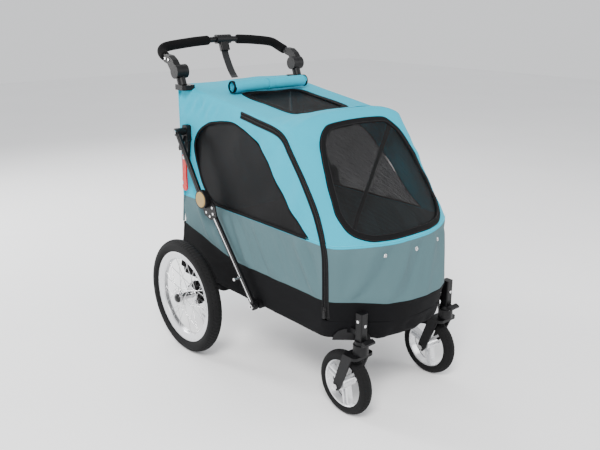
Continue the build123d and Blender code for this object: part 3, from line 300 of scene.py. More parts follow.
# painted highlight: bright metal for the strip that stands in for the highlight along the lower struts' edge
M["chrome_edge"] = hard_mat("painted_highlight_strip", (0.78, 0.78, 0.79), 0.14, metal=1.0, grain=300, grain_d=0.00003, strength=0.1, wear=0.04)

for node, key in {
    "base_frame": "powder", "base_rivets": "steel", "brake_bar": "powder", "rear_axle": "powder", "floor_board": "board",
    "brake_disc_left": "plastic", "brake_disc_right": "plastic", "caster_bolt_left": "steel", "caster_bolt_right": "steel",
    "front_hoop": "powder", "handle_rivets": "steel", "handle_tube": "powder", "rear_hub_left": "steel", "rear_hub_right": "steel",
    "rear_spokes_left": "steel", "rear_spokes_right": "steel", "strut_pins": "steel", "strut_rivets_left": "steel", "strut_rivets_right": "steel",
    "uprights": "powder",
}.items():
    o = NODES[node]
    if o.material_slots:
        for s in o.material_slots:
            s.material = M[key]
    else:
        o.data.materials.append(M[key])


# =====================================================================
# mesh helpers (all lengths in mm until the mesh is written)
# =====================================================================
def put(name, verts, faces, mat, smooth=True, sharp=50.0, uv=None, mats=None, face_mats=None):
    me = bpy.data.meshes.new(name)
    me.from_pydata([tuple(v) for v in (np.asarray(verts, float) * MM)], [], [tuple(int(i) for i in f) for f in faces])
    me.update()
    if mats:
        for m_ in mats:
            me.materials.append(m_)
        me.polygons.foreach_set("material_index", np.asarray(face_mats, dtype=np.int32))
    else:
        me.materials.append(mat)
    if smooth:
        me.shade_smooth()
        if sharp:
            me.set_sharp_from_angle(angle=math.radians(sharp))
    o = bpy.data.objects.new(name, me)
    bpy.context.scene.collection.objects.link(o)
    return o


def apply_mods(o):
    dg = bpy.context.evaluated_depsgraph_get()
    me = bpy.data.meshes.new_from_object(o.evaluated_get(dg))
    old = o.data
    o.modifiers.clear()
    o.data = me
    bpy.data.meshes.remove(old)
    return o


def catmull(points, n, closed=False):
    p = np.asarray(points, float)
    if closed:
        q = np.vstack([p[-1], p, p[0], p[1]])
        segs = len(p)
    else:
        q = np.vstack([2 * p[0] - p[1], p, 2 * p[-1] - p[-2]])
        segs = len(p) - 1
    out = []
    for i in range(segs):
        a, b, c, d = q[i], q[i + 1], q[i + 2], q[i + 3]
        for j in range(n):
            t = j / n
            out.append(0.5 * ((2 * b) + (-a + c) * t + (2 * a - 5 * b + 4 * c - d) * t * t + (-a + 3 * b - 3 * c + d) * t ** 3))
    if not closed:
        out.append(p[-1])
    return np.array(out)


def resample(p, step, closed=False):
    p = np.asarray(p, float)
    if closed:
        p = np.vstack([p, p[:1]])
    seg = np.linalg.norm(np.diff(p, axis=0), axis=1)
    s = np.concatenate([[0], np.cumsum(seg)])
    n = max(3, int(round(s[-1] / step)))
    t = np.linspace(0, s[-1], n + 1)
    out = np.stack([np.interp(t, s, p[:, k]) for k in range(p.shape[1])], axis=1)
    return out[:-1] if closed else out


def inside(pts, poly):
    x, y = pts[:, 0], pts[:, 1]
    res = np.zeros(len(pts), bool)
    px, py = poly[:, 0], poly[:, 1]
    j = len(poly) - 1
    for i in range(len(poly)):
        c = (py[i] > y) != (py[j] > y)
        with np.errstate(divide="ignore", invalid="ignore"):
            xi = (px[j] - px[i]) * (y - py[i]) / (py[j] - py[i]) + px[i]
        res ^= c & (x < xi)
        j = i
    return res


def dist_to(pts, poly):
    d = np.full(len(pts), 1e9)
    n = len(poly)
    for i in range(n):
        a, b = poly[i], poly[(i + 1) % n]
        ab = b - a
        t = np.clip(((pts - a) @ ab) / max(1e-9, ab @ ab), 0, 1)
        d = np.minimum(d, np.linalg.norm(pts - (a + t[:, None] * ab), axis=1))
    return d


def triangulate(outer, holes, step):
    """Even triangles over a flat outline with holes."""
    outer = resample(outer, step, True)
    holes = [resample(h, step, True) for h in holes]
    lo, hi = outer.min(0), outer.max(0)
    gx = np.arange(lo[0], hi[0], step)
    gy = np.arange(lo[1], hi[1], step * 0.866)
    grid = np.array([(x + (0.5 * step if j % 2 else 0.0), y) for j, y in enumerate(gy) for x in gx])
    keep = inside(grid, outer) & (dist_to(grid, outer) > 0.55 * step)
    for h in holes:
        keep &= ~inside(grid, h) & (dist_to(grid, h) > 0.55 * step)
    pts = [outer] + holes + [grid[keep]]
    edges = []
    base = 0
    for loop in [outer] + holes:
        n = len(loop)
        edges += [(base + i, base + (i + 1) % n) for i in range(n)]
        base += n
    allp = np.vstack(pts)
    v, e, f, _, _, _ = delaunay_2d_cdt([Vector(p) for p in allp], edges, [], 0, 1e-5)
    v = np.array([(q.x, q.y) for q in v])
    f = np.array([tuple(t) for t in f if len(t) == 3])
    cen = v[f].mean(axis=1)
    ok = inside(cen, outer)
    for h in holes:
        ok &= ~inside(cen, h)
    return v, f[ok]


def tri_normals(P, F):
    n = np.zeros_like(P)
    fn = np.cross(P[F[:, 1]] - P[F[:, 0]], P[F[:, 2]] - P[F[:, 0]])
    for k in range(3):
        np.add.at(n, F[:, k], fn)
    return n / np.maximum(1e-12, np.linalg.norm(n, axis=1))[:, None]


CENTRE = np.array([0.0, fy(-260), 480.0])


def sheet_body(name, P, F, mat, thick=1.6, disp=None, lift=0.0, centre=None, inner_mat=None):
    """A sheet with a real thickness from a triangulated surface: outer face, inner face and rim."""
    P = np.asarray(P, float)
    F = np.asarray(F, int)
    n = tri_normals(P, F)
    c = CENTRE if centre is None else np.asarray(centre, float)
    if ((P - c) * n).sum() < 0:
        F = F[:, ::-1]
        n = -n
    if disp is not None:
        P = P + n * disp(P)[:, None]
        n = tri_normals(P, F)
    P = P + n * lift
    Q = P - n * thick
    k = len(P)
    faces = [tuple(t) for t in F] + [(a + k, c_ + k, b + k) for a, b, c_ in F]
    from_edge = {}
    for a, b, c_ in F:
        for e in ((a, b), (b, c_), (c_, a)):
            from_edge[e] = True
    rim = [(b, a, a + k, b + k) for (a, b) in from_edge if (b, a) not in from_edge]
    faces += rim
    if inner_mat is not None:
        fm = [0] * len(F) + [1] * len(F) + [0] * len(rim)
        return put(name, np.vstack([P, Q]), faces, None, mats=[mat, inner_mat], face_mats=fm, sharp=60)
    return put(name, np.vstack([P, Q]), faces, mat, sharp=60)


def frames_along(pts, normals=None, closed=False):
    p = np.asarray(pts, float)
    if closed:
        t = np.roll(p, -1, 0) - np.roll(p, 1, 0)
    else:
        t = np.gradient(p, axis=0)
    t /= np.maximum(1e-9, np.linalg.norm(t, axis=1))[:, None]
    if normals is None:
        n = np.zeros_like(p)
        ref = np.array([0, 0, 1.0]) if abs(t[0][2]) < 0.9 else np.array([1.0, 0, 0])
        v = ref - t[0] * (ref @ t[0])
        n[0] = v / np.linalg.norm(v)
        for i in range(1, len(p)):
            v = n[i - 1] - t[i] * (n[i - 1] @ t[i])
            n[i] = v / np.linalg.norm(v)
    else:
        n = np.asarray(normals, float)
        n = n - t * (n * t).sum(1)[:, None]
        n /= np.maximum(1e-9, np.linalg.norm(n, axis=1))[:, None]
    b = np.cross(t, n)
    return t, n, b


def sweep(name, pts, section, mat, normals=None, closed=False, scale=None, caps=True, sharp=45.0):
    """Section points (across, up) carried along a path; up follows the normals."""
    p = np.asarray(pts, float)
    t, n, b = frames_along(p, normals, closed)
    sec = np.asarray(section, float)
    m = len(sec)
    V = []
    for i in range(len(p)):
        k = 1.0 if scale is None else scale[i]
        V.append(p[i] + np.outer(sec[:, 0] * k, b[i]) + np.outer(sec[:, 1] * k, n[i]))
    V = np.vstack(V)
    F = []
    L = len(p)
    for i in range(L if closed else L - 1):
        j = (i + 1) % L
        for a in range(m):
            c = (a + 1) % m
            F.append((i * m + a, i * m + c, j * m + c, j * m + a))
    if caps and not closed:
        F.append(tuple(reversed(range(m))))
        F.append(tuple(range((L - 1) * m, L * m)))
    # outward facing
    o = put(name, V, F, mat, sharp=sharp)
    bm = bmesh.new()
    bm.from_mesh(o.data)
    bmesh.ops.recalc_face_normals(bm, faces=bm.faces)
    bm.to_mesh(o.data)
    bm.free()
    return o


def circle(r, n=16, rx=None):
    return [((rx or r) * math.cos(2 * math.pi * i / n), r * math.sin(2 * math.pi * i / n)) for i in range(n)]


def pad_section(w, h, n=5, base=0.0):
    """Flat strip with rounded shoulders: half width w, height h above base."""
    pts = [(-w, base)]
    r = min(h, w * 0.6)
    for i in range(n + 1):
        a = math.pi - math.pi / 2 * i / n
        pts.append((-w + r + r * math.cos(a), base + h - r + r * math.sin(a)))
    for i in range(n + 1):
        a = math.pi / 2 - math.pi / 2 * i / n
        pts.append((w - r + r * math.cos(a), base + h - r + r * math.sin(a)))
    pts.append((w, base))
    return pts


def revolve(name, profile, centre, mat, seg=96, closed=True, sharp=35.0, radial=None):
    """profile: (x across, radius) loop turned about the X axis through centre."""
    pr = np.asarray(profile, float)
    m = len(pr)
    V, F = [], []
    for i in range(seg):
        a = 2 * math.pi * i / seg
        for k in range(m):
            r = pr[k, 1] + (radial(a, pr[k, 0], pr[k, 1], k) if radial else 0.0)
            V.append((centre[0] + pr[k, 0], centre[1] + r * math.cos(a), centre[2] + r * math.sin(a)))
    for i in range(seg):
        j = (i + 1) % seg
        for k in range(m if closed else m - 1):
            l = (k + 1) % m
            F.append((i * m + k, j * m + k, j * m + l, i * m + l))
    o = put(name, V, F, mat, sharp=sharp)
    bm = bmesh.new()
    bm.from_mesh(o.data)
    bmesh.ops.recalc_face_normals(bm, faces=bm.faces)
    bm.to_mesh(o.data)
    bm.free()
    return o


def merged(name, parts, mat=None):
    """Join several objects made here into one piece."""
    bm = bmesh.new()
    mats = []
    for o in parts:
        for m_ in o.data.materials:
            if m_ not in mats:
                mats.append(m_)
    for o in parts:
        off = [mats.index(m_) for m_ in o.data.materials]
        tmp = bmesh.new()
        tmp.from_mesh(o.data)
        for f in tmp.faces:
            f.material_index = off[f.material_index] if off else 0
        me = bpy.data.meshes.new("tmp")
        tmp.to_mesh(me)
        tmp.free()
        bm.from_mesh(me)
        bpy.data.meshes.remove(me)
    me = bpy.data.meshes.new(name)
    bm.to_mesh(me)
    bm.free()
    for m_ in mats:
        me.materials.append(m_)
    for o in parts:
        old = o.data
        bpy.data.objects.remove(o)
        bpy.data.meshes.remove(old)
    me.shade_smooth()
    me.set_sharp_from_angle(angle=math.radians(50))
    o = bpy.data.objects.new(name, me)
    bpy.context.scene.collection.objects.link(o)
    return o


def stitches(name, pts, normals, mat, pitch=5.0, length=3.2, r=0.42, closed=False, lift=0.15):
    """A row of thread stitches laid on a surface."""
    q = resample(pts, pitch, closed)
    src = np.asarray(pts, float)
    idx = [int(np.argmin(((src - a) ** 2).sum(1))) for a in q]
    nn = np.asarray(normals, float)[idx]
    t, n, b = frames_along(q, nn, closed)
    V, F = [], []
    for i in range(len(q)):
        c = q[i] + n[i] * lift
        base = len(V)
        for e, k in ((-0.5, 0.35), (-0.3, 1.0), (0.3, 1.0), (0.5, 0.35)):
            for a in range(5):
                ang = 2 * math.pi * a / 5
                V.append(c + t[i] * e * length + (n[i] * math.sin(ang) + b[i] * math.cos(ang)) * r * k)
        for s in range(3):
            for a in range(5):
                d = (a + 1) % 5
                F.append((base + s * 5 + a, base + s * 5 + d, base + s * 5 + 5 + d, base + s * 5 + 5 + a))
        F.append(tuple(base + a for a in range(4, -1, -1)))
        F.append(tuple(base + 15 + a for a in range(5)))
    return put(name, V, F, mat, sharp=None)


def vnoise(P, scale, seed=0.0):
    return np.array([mnoise.noise(Vector((p[0] / scale + seed, p[1] / scale + seed * 0.7, p[2] / scale - seed))) for p in P])


def ride(o, body, *nodes, slot=None):
    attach(o, body)
    if nodes:
        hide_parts(*nodes)
    return o


def soft(o, keep=0.1):
    """Cloth of the fixed body: gives the object a mesh of its own."""
    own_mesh(o)
    return o


def door_soft(o, keep=0.12):
    """Cloth of the front panel: gives the object a mesh of its own."""
    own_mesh(o)
    return o


# =====================================================================
# the cloth body's surface
# =====================================================================
PLAN_Z = [245.0, 361.0, 527.0, 915.0]
PLAN = [
    [(0, -754), (61, -748), (123, -733), (176, -692), (206, -664), (232, -641), (249, -620), (250, -224), (249, 35), (247, 150)],
    [(0, -786), (67, -781), (127, -755), (176, -706), (211, -672), (237, -652), (250, -632), (249, -224), (248, 35), (246, 128)],
    [(0, -738), (75, -735), (142, -713), (188, -690), (213, -675), (237, -659), (250, -640), (245, -224), (244, 35), (244, 106)],
    [(0, -424), (75, -424), (142, -424), (176, -424), (196, -423), (210, -420), (219, -412), (225, -224), (233, 35), (243, 108)],
]
PLAN = np.array(PLAN, float)
ROOF_Y = np.array([-860, -455, -340, 190.0])
ROOF_SIDE = np.array([755, 816, 840.5, 920.0])
ROOF_CROWN = np.array([52, 52, 7, 2.0])
ZIP_Z = np.array([302, 470, 526, 562, 621, 693, 762, 795, 1000.0])
ZIP_YV = np.array([-628, -628, -624, -605, -571, -519, -460, -440, -440.0])
TUBTOP_Y = np.array([-900, -182, 33, 300.0])
TUBTOP_Z = np.array([361, 360, 408, 460.0])
BACK_Y = 107.0
Z_GRID = np.linspace(245, 915, 135)
N_OUT = 260


def _level(z):
    k = min(2, int(np.searchsorted(PLAN_Z, z, side="right") - 1))
    t = (z - PLAN_Z[k]) / (PLAN_Z[k + 1] - PLAN_Z[k])
    half = PLAN[k] * (1 - t) + PLAN[k + 1] * t
    full = np.vstack([half[1:][::-1] * [-1, 1], half])
    q = resample(full, 5.0)
    w = np.exp(-0.5 * (np.arange(-8, 9) / 3.2) ** 2)
    w /= w.sum()
    pad = np.vstack([np.repeat(q[:1], 8, 0), q, np.repeat(q[-1:], 8, 0)])
    sm = np.stack([np.convolve(pad[:, i], w, mode="valid") for i in range(2)], 1)
    sm[0], sm[-1] = q[0], q[-1]
    mid = len(sm) // 2
    if len(sm) % 2:
        h = sm[mid:]
    else:
        h = np.vstack([(sm[mid - 1] + sm[mid]) / 2, sm[mid:]])
    h[0, 0] = 0.0
    seg = np.concatenate([[0], np.cumsum(np.linalg.norm(np.diff(h, axis=0), axis=1))])
    s = np.linspace(0, seg[-1], N_OUT)
    return s, np.stack([np.interp(s, seg, h[:, 0]), np.interp(s, seg, h[:, 1])], 1)


LEVELS = [_level(z) for z in Z_GRID]


def on_outline(s, z):
    """(x, y) at arc length s (signed) from the middle of the nose, at height z."""
    s = np.asarray(s, float)
    z = np.broadcast_to(np.asarray(z, float), s.shape)
    out = np.zeros(s.shape + (2,))
    f = np.clip((z - 245.0) / (670.0) * (len(Z_GRID) - 1), 0, len(Z_GRID) - 1.0001)
    k = f.astype(int)
    t = f - k
    for lev in np.unique(k):
        m = k == lev
        a, b = LEVELS[lev], LEVELS[lev + 1]
        ss = np.abs(s[m])
        xa, ya = np.interp(ss, a[0], a[1][:, 0]), np.interp(ss, a[0], a[1][:, 1])
        xb, yb = np.interp(ss, b[0], b[1][:, 0]), np.interp(ss, b[0], b[1][:, 1])
        tt = t[m]
        out[m, 0] = (xa * (1 - tt) + xb * tt) * np.sign(s[m])
        out[m, 1] = ya * (1 - tt) + yb * tt
    return out


def side_x(y, z):
    y = np.asarray(y, float)
    z = np.broadcast_to(np.asarray(z, float), y.shape)
    f = np.clip((z - 245.0) / 670.0 * (len(Z_GRID) - 1), 0, len(Z_GRID) - 1.0001)
    k = f.astype(int)
    t = f - k
    out = np.zeros(y.shape)
    for lev in np.unique(k):
        m = k == lev
        a, b = LEVELS[lev][1], LEVELS[lev + 1][1]
        out[m] = np.interp(y[m], a[:, 1], a[:, 0]) * (1 - t[m]) + np.interp(y[m], b[:, 1], b[:, 0]) * t[m]
    return out


def roof_z(x, y):
    s = np.interp(y, ROOF_Y, ROOF_SIDE)
    c = np.interp(y, ROOF_Y, ROOF_CROWN)
    return s + c * (1 - (np.minimum(np.abs(x), 246.0) / 246.0) ** 3.5)


def zip_y(z):
    return np.interp(z, ZIP_Z, ZIP_YV)


ZIP_LEN = np.array([np.interp(zip_y(z), L[1][:, 1], L[0]) for z, L in zip(Z_GRID, LEVELS)])


def zip_s(z):
    return np.interp(z, Z_GRID, ZIP_LEN)


def crease(y):
    y = np.maximum(np.asarray(y, float), -440.0)
    z = np.interp(y, ROOF_Y, ROOF_SIDE)
    x = side_x(y, z)
    for _ in range(4):
        z = roof_z(x, y)
        x = side_x(y, z)
    return x, z


def upper_raw(y, v):
    """Sides and roof as one sheet: v is the distance across from the middle line."""
    xc, zc = crease(y)
    a = np.abs(v)
    sg = np.where(v < 0, -1.0, 1.0)
    on_roof = a <= xc
    x = np.where(on_roof, a, side_x(y, np.where(on_roof, zc, zc - (a - xc))))
    z = np.where(on_roof, roof_z(a, y), zc - (a - xc))
    return np.stack([x * sg, y, z], -1)


def upper(y, v, r=13.0):
    p = 0
    for k, w in ((-1.0, 1), (-0.5, 2), (0.0, 3), (0.5, 2), (1.0, 1)):
        p = p + w * upper_raw(y, v + k * r)
    return p / 9.0


def v_of(y, z):
    xc, zc = crease(y)
    return xc + (zc - z)


def _crest():
    us = np.linspace(0, 1, 61)
    lo, hi = np.full(61, 700.0), np.full(61, 905.0)
    for _ in range(30):
        mid = (lo + hi) / 2
        p = on_outline(us * zip_s(mid), mid)
        above = mid > roof_z(p[:, 0], p[:, 1])
        hi = np.where(above, mid, hi)
        lo = np.where(above, lo, mid)
    p = on_outline(us * zip_s(lo), lo)
    return us, lo, p[:, 1]


CR_U, CR_Z, CR_Y = _crest()


def front_raw(s, t):
    s = np.asarray(s, float)
    t = np.asarray(t, float)
    u = np.clip(s / zip_s(np.minimum(t, 850.0)), -1, 1)
    for _ in range(3):
        T = np.interp(np.abs(u), CR_U, CR_Z)
        z = np.minimum(t, T)
        u = np.clip(s / zip_s(z), -1, 1)
    T = np.interp(np.abs(u), CR_U, CR_Z)
    z = np.minimum(t, T)
    p = on_outline(u * zip_s(z), z)
    over = np.maximum(0, t - T)
    y = np.where(over > 0, np.minimum(np.maximum(p[:, 1] + over, p[:, 1]), np.maximum(-440.0, p[:, 1])), p[:, 1])
    zz = np.where(over > 0, roof_z(p[:, 0], y), z)
    return np.stack([p[:, 0], y, zz], -1)


def front(s, t, r=11.0):
    p = 0
    for k, w in ((-1.0, 1), (-0.5, 2), (0.0, 3), (0.5, 2), (1.0, 1)):
        p = p + w * front_raw(s, t + k * r)
    q = p / 9.0
    # the averaged rows only matter round the crest
    base = front_raw(s, t)
    T = np.interp(np.clip(np.abs(s) / zip_s(np.minimum(t, 850.0)), 0, 1), CR_U, CR_Z)
    k = np.clip(1 - np.abs(t - T) / (2.5 * r), 0, 1)[:, None]
    return base * (1 - k) + q * k


def top_of(s):
    """Highest t of the front panel at column s."""
    u = np.clip(np.abs(s) / zip_s(835.0), 0, 1)
    return np.interp(u, CR_U, CR_Z) + np.maximum(0, -440.0 - np.interp(u, CR_U, CR_Y))


def to_row(P):
    P = np.array(P, float)
    P[..., 1] += AX
    return P


def creases(P, direction, width, length, amp, seed, sharp=1.6):
    """Soft folds running along a direction on the cloth."""
    d = np.asarray(direction, float)
    d = d / np.linalg.norm(d)
    along = P @ d
    across = P - np.outer(along, d)
    q = across / width + np.outer(along / length, d)
    n = np.array([mnoise.noise(Vector((a[0] + seed, a[1] - seed, a[2] + 0.5 * seed))) for a in q])
    return amp * np.sign(n) * np.abs(n * 1.6) ** sharp


ZPATH = [(-218, 842), (-256, 836), (-296, 829), (-336, 823), (-376, 816), (-408, 806), (-432, 789), (-452, 765), (-484, 729), (-519, 688), (-571, 618), (-600, 566), (-617, 527), (-623, 496), (-625, 460), (-626, 400), (-626, 350), (-626, 310)]
ZLINE = np.array(ZPATH, float)


def off_zip(Q, reach=34.0):
    """0 on the zipper's line, 1 away from it, so that the cloth lies flat under the tape."""
    p = np.stack([Q[:, 1] - AX, Q[:, 2]], 1)
    d = np.full(len(p), 1e9)
    for a, b in zip(ZLINE[:-1], ZLINE[1:]):
        ab = b - a
        t = np.clip(((p - a) @ ab) / (ab @ ab), 0, 1)
        d = np.minimum(d, np.linalg.norm(p - (a + t[:, None] * ab), axis=1))
    return np.clip((d - 12.0) / reach, 0, 1)




STEP = 9.0

# windows, smoothed outlines
SIDE_WIN = catmull([(-552, 531.5), (-506, 566), (-462, 605), (-404, 665), (-326, 743), (-271, 777), (-215, 800), (-171, 811), (-102, 806), (-37, 790), (7, 758), (24, 719), (22, 667), (6, 612), (-17, 575), (-50, 547), (-95, 532.5), (-203, 531.5), (-369, 531.5), (-500, 531.5)], 5)
SIDE_WIN = np.vstack([SIDE_WIN, [(-526, 531.5)]])
SIDE_WIN_V = np.stack([SIDE_WIN[:, 0], v_of(SIDE_WIN[:, 0], SIDE_WIN[:, 1])], 1)
a_ = np.linspace(0, 2 * math.pi, 65)[:-1]
TOP_WIN = np.stack([-205 + 135 * np.sign(np.cos(a_)) * np.abs(np.cos(a_)) ** 0.22, 116 * np.sign(np.sin(a_)) * np.abs(np.sin(a_)) ** 0.22], 1)
FRONT_WIN = catmull([(0, 544), (-90, 544), (-146, 547), (-184, 565), (-199, 602), (-196, 644), (-186, 704), (-173, 756), (-157, 794), (-132, 818), (-98, 829), (0, 833), (98, 829), (132, 818), (157, 794), (173, 756), (186, 704), (196, 644), (199, 602), (184, 565), (146, 547), (90, 544)], 4, True)


def s_at_x(x, z):
    out = []
    for xx, zz in zip(x, z):
        k = int(round((zz - 245.0) / 670.0 * (len(Z_GRID) - 1)))
        s_, h = LEVELS[k]
        n = int(np.argmax(h[:, 0] > 0.985 * h[:, 0].max())) + 1
        out.append(math.copysign(float(np.interp(abs(xx), h[:n, 0], s_[:n])), xx))
    return np.array(out)


FRONT_WIN_S = np.stack([s_at_x(FRONT_WIN[:, 0], FRONT_WIN[:, 1]), FRONT_WIN[:, 1]], 1)

# ---- canopy: both sides and the roof in one piece
ys = np.linspace(BACK_Y, -440, 60)
edge_zip = [(float(zip_y(z)), z) for z in np.linspace(790, 527.5, 34)]
right_half = [(y, float(v_of(np.array([y]), np.array([z]))[0])) for y, z in edge_zip]
top_corner = (-440.0, float(v_of(np.array([-440.0]), np.array([800.0]))[0]))
bottom_row = [(y, float(v_of(np.array([y]), np.array([527.5]))[0])) for y in np.linspace(zip_y(527.5) + 8, BACK_Y, 60)]
loop = [top_corner] + right_half + bottom_row
loop_neg = [(y, -v) for y, v in reversed(loop)]
outer = np.array(loop + loop_neg)
V2, F = triangulate(outer, [SIDE_WIN_V, SIDE_WIN_V * [1, -1], TOP_WIN], STEP)
P = to_row(upper(V2[:, 0], V2[:, 1]))


def canopy_disp(Q):
    y = Q[:, 1] - AX
    xc, zc = crease(y)
    roof = np.clip((Q[:, 2] - (zc - 26)) / 26, 0, 1)
    # the roof hangs a little between the bars, the sides belly out between frame and hem
    across = np.clip(1 - (np.abs(Q[:, 0]) / 225) ** 2, 0, 1)
    d = -roof * across * 3.0 * np.clip(np.sin(np.clip((y + 440) / 520, 0, 1) * math.pi), 0, 1)
    h = np.clip((Q[:, 2] - 527) / 60, 0, 1) * np.clip((zc - Q[:, 2]) / 50, 0, 1)
    d += (1 - roof) * h * 5.0 * vnoise(Q, 170, 3.1)
    d += creases(Q, (0, 0.35, 1), 50, 380, 6.5, 1.7) * h * (1 - roof)
    d += roof * creases(Q, (0.9, 0.3, 0), 64, 320, 3.4, 4.2) * np.clip(across * 1.4, 0, 1)
    skew = y * 0.85 + (Q[:, 2] - 700) * 0.45
    d += (1 - roof) * h * 3.0 * np.sin(skew / 15.0 + 2.0 * vnoise(Q, 140, 31.0)) * np.clip(0.2 + 1.3 * vnoise(Q, 190, 33.0), 0, 1)
    # gathers running down from the handle's corner
    g = np.exp(-(((y + 10) / 105) ** 2)) * np.clip((zc - 8 - Q[:, 2]) / 30, 0, 1) * np.clip((Q[:, 2] - 800) / 45, 0, 1) * (1 - roof)
    d += g * 4.2 * np.sin((y + (Q[:, 2] - 860) * 0.75) / 7.0)
    # gathers where the zipper pulls round the front corner
    near = np.exp(-(((y + 420) / 55) ** 2)) * np.exp(-(((Q[:, 2] - 812) / 60) ** 2))
    d += near * 1.8 * np.sin(y / 7.5)
    d += 0.5 * vnoise(Q, 34, 9.0)
    return d * off_zip(Q)


canopy = sheet_body("canopy_cloth", P, F, M["teal"], thick=1.5, disp=canopy_disp)
ride(canopy, "root", "canopy", slot="cloth_upper")
soft(canopy)

# ---- side bands, grey, between the tub and the canopy
for side, sg in (("right", -1.0), ("left", 1.0)):
    low = [(y, float(np.interp(y, TUBTOP_Y, TUBTOP_Z)) + 0.8) for y in np.linspace(BACK_Y, -628, 70)]
    up = [(float(zip_y(z)), z) for z in np.linspace(380, 526.6, 14)]
    top = [(y, 526.8) for y in np.linspace(zip_y(526.6) + 8, BACK_Y, 60)]
    v2, f = triangulate(np.array(low + up + top), [], STEP)
    p = to_row(np.stack([sg * side_x(v2[:, 0], v2[:, 1]), v2[:, 0], v2[:, 1]], 1))

    def band_disp(Q, sg=sg):
        top_ = np.clip((527 - Q[:, 2]) / 30, 0, 1)
        bot = np.clip((Q[:, 2] - np.interp(Q[:, 1] - AX, TUBTOP_Y, TUBTOP_Z)) / 25, 0, 1)
        m_ = top_ * bot
        d = creases(Q, (0, -0.6, -1), 40, 330, 9.0, 2.3 + sg) * m_
        d += 3.0 * vnoise(Q, 150, 6.0 + sg) * m_
        y = Q[:, 1] - AX
        for y0, a in ((-500, 9.0), (-400, -7.0), (-290, 9.0), (-175, 7.5), (-60, -6.0), (20, 7.0), (-575, -4.5)):
            line = (y - y0) - (Q[:, 2] - 527) * 0.62
            d += m_ * a * np.exp(-((line / 16) ** 2))
        skew = y - (Q[:, 2] - 527) * 0.62
        wave = np.sin(skew / 13.5 + 1.9 * vnoise(Q, 120, 12.0 + sg))
        d += m_ * 4.2 * wave * np.clip(0.35 + 1.3 * vnoise(Q, 170, 15.0 - sg), 0, 1)
        return (d + 0.4 * vnoise(Q, 30, 2.0)) * off_zip(Q)

    o = sheet_body("side_band_" + side, p, f, M["band"], thick=1.4, disp=band_disp)
    ride(o, "root", "side_band", slot="cloth_band")
    soft(o)

# ---- lifting front panel: turquoise top with its window, grey band, black foot
tt = np.linspace(0, 1, 40)
zf = np.linspace(527.5, 815, 40)
S_T = zip_s(zf) - 1.0
up_edge = [(float(s), float(z)) for s, z in zip(S_T, zf)]
ss = np.linspace(zip_s(815.0) - 1.0, -(zip_s(815.0) - 1.0), 60)
top_edge = [(float(s), float(max(816.0, top_of(s)))) for s in ss]
dn_edge = [(-s, z) for s, z in reversed(up_edge)]
bot_edge = [(float(s), 527.5) for s in np.linspace(-S_T[0], S_T[0], 70)[1:-1]]
outer = np.array(up_edge + top_edge + dn_edge + bot_edge)
V2, F = triangulate(outer, [FRONT_WIN_S], STEP)
P = to_row(front(V2[:, 0], V2[:, 1]))
DC = (0.0, fy(-400), 560.0)


def front_disp(Q):
    h = np.clip((Q[:, 2] - 527) / 40, 0, 1) * np.clip((840 - Q[:, 2]) / 60, 0, 1)
    return (2.4 * vnoise(Q, 120, 5.0) + creases(Q, (0.15, 0.5, -1), 46, 320, 5.0, 7.7)) * h * off_zip(Q) + 0.4 * vnoise(Q, 30, 4.0)


o = sheet_body("front_panel_upper", P, F, M["teal"], thick=1.5, disp=front_disp, centre=DC)
ride(o, "front_door", "door_panel", slot="cloth_upper")
door_soft(o)


def band_region(z0, z1, gap=1.0):
    zz = np.linspace(z0, z1, 24)
    e = [(float(zip_s(z) - gap), float(z)) for z in zz]
    t_ = [(float(s), z1) for s in np.linspace(zip_s(z1) - gap, -(zip_s(z1) - gap), 80)[1:-1]]
    m_ = [(-s, z) for s, z in reversed(e)]
    b_ = [(float(s), z0) for s in np.linspace(-(zip_s(z0) - gap), zip_s(z0) - gap, 80)[1:-1]]
    return np.array(e + t_ + m_ + b_)


V2, F = triangulate(band_region(361.8, 526.8), [], STEP)
P = to_row(front(V2[:, 0], V2[:, 1]))


def fband_disp(Q):
    m_ = np.clip((527 - Q[:, 2]) / 26, 0, 1) * np.clip((Q[:, 2] - 361) / 22, 0, 1)
    d = creases(Q, (-0.42, -0.2, -1), 46, 420, 6.0, 11.3) * m_
    for x0, k, a, w in ((-40, 0.62, 8.5, 17), (78, 0.55, 9.0, 19), (-150, 0.45, 6.5, 16), (20, 0.75, -6.5, 14), (160, 0.6, 7.0, 18), (-100, 0.7, -5.0, 13)):
        line = (Q[:, 0] - x0) - (Q[:, 2] - 500) * k
        d += m_ * a * np.exp(-((line / w) ** 2))
    wave = np.sin((Q[:, 0] - (Q[:, 2] - 500) * 0.6) / 14.0 + 1.8 * vnoise(Q, 120, 21.0))
    d += m_ * 3.4 * wave * np.clip(0.4 + 1.2 * vnoise(Q, 160, 19.0), 0, 1)
    # small dimples where the snaps hold
    for sx, sz in ((-113, 497), (0, 497), (113, 497)):
        r2 = ((Q[:, 0] - sx) ** 2 + (Q[:, 2] - sz) ** 2)
        d -= 2.0 * np.exp(-r2 / 18.0 ** 2)
    return (d + 0.4 * vnoise(Q, 28, 1.0)) * off_zip(Q)


o = sheet_body("front_panel_band", P, F, M["band"], thick=1.4, disp=fband_disp, centre=DC)
ride(o, "front_door", "door_panel", slot="cloth_band")
door_soft(o)
BAND_P, BAND_DISP = P, fband_disp

V2, F = triangulate(band_region(303.4, 361.0), [], STEP)
P = to_row(front(V2[:, 0], V2[:, 1]))


def foot_disp(Q):
    m_ = np.clip((361 - Q[:, 2]) / 20, 0, 1)
    return 2.5 * vnoise(Q, 80, 3.0) * m_ + 0.4 * vnoise(Q, 26, 1.0)


o = sheet_body("front_panel_foot", P, F, M["tub"], thick=1.6, disp=foot_disp, centre=DC)
ride(o, "front_door", "door_panel", slot="cloth_tub")
door_soft(o)

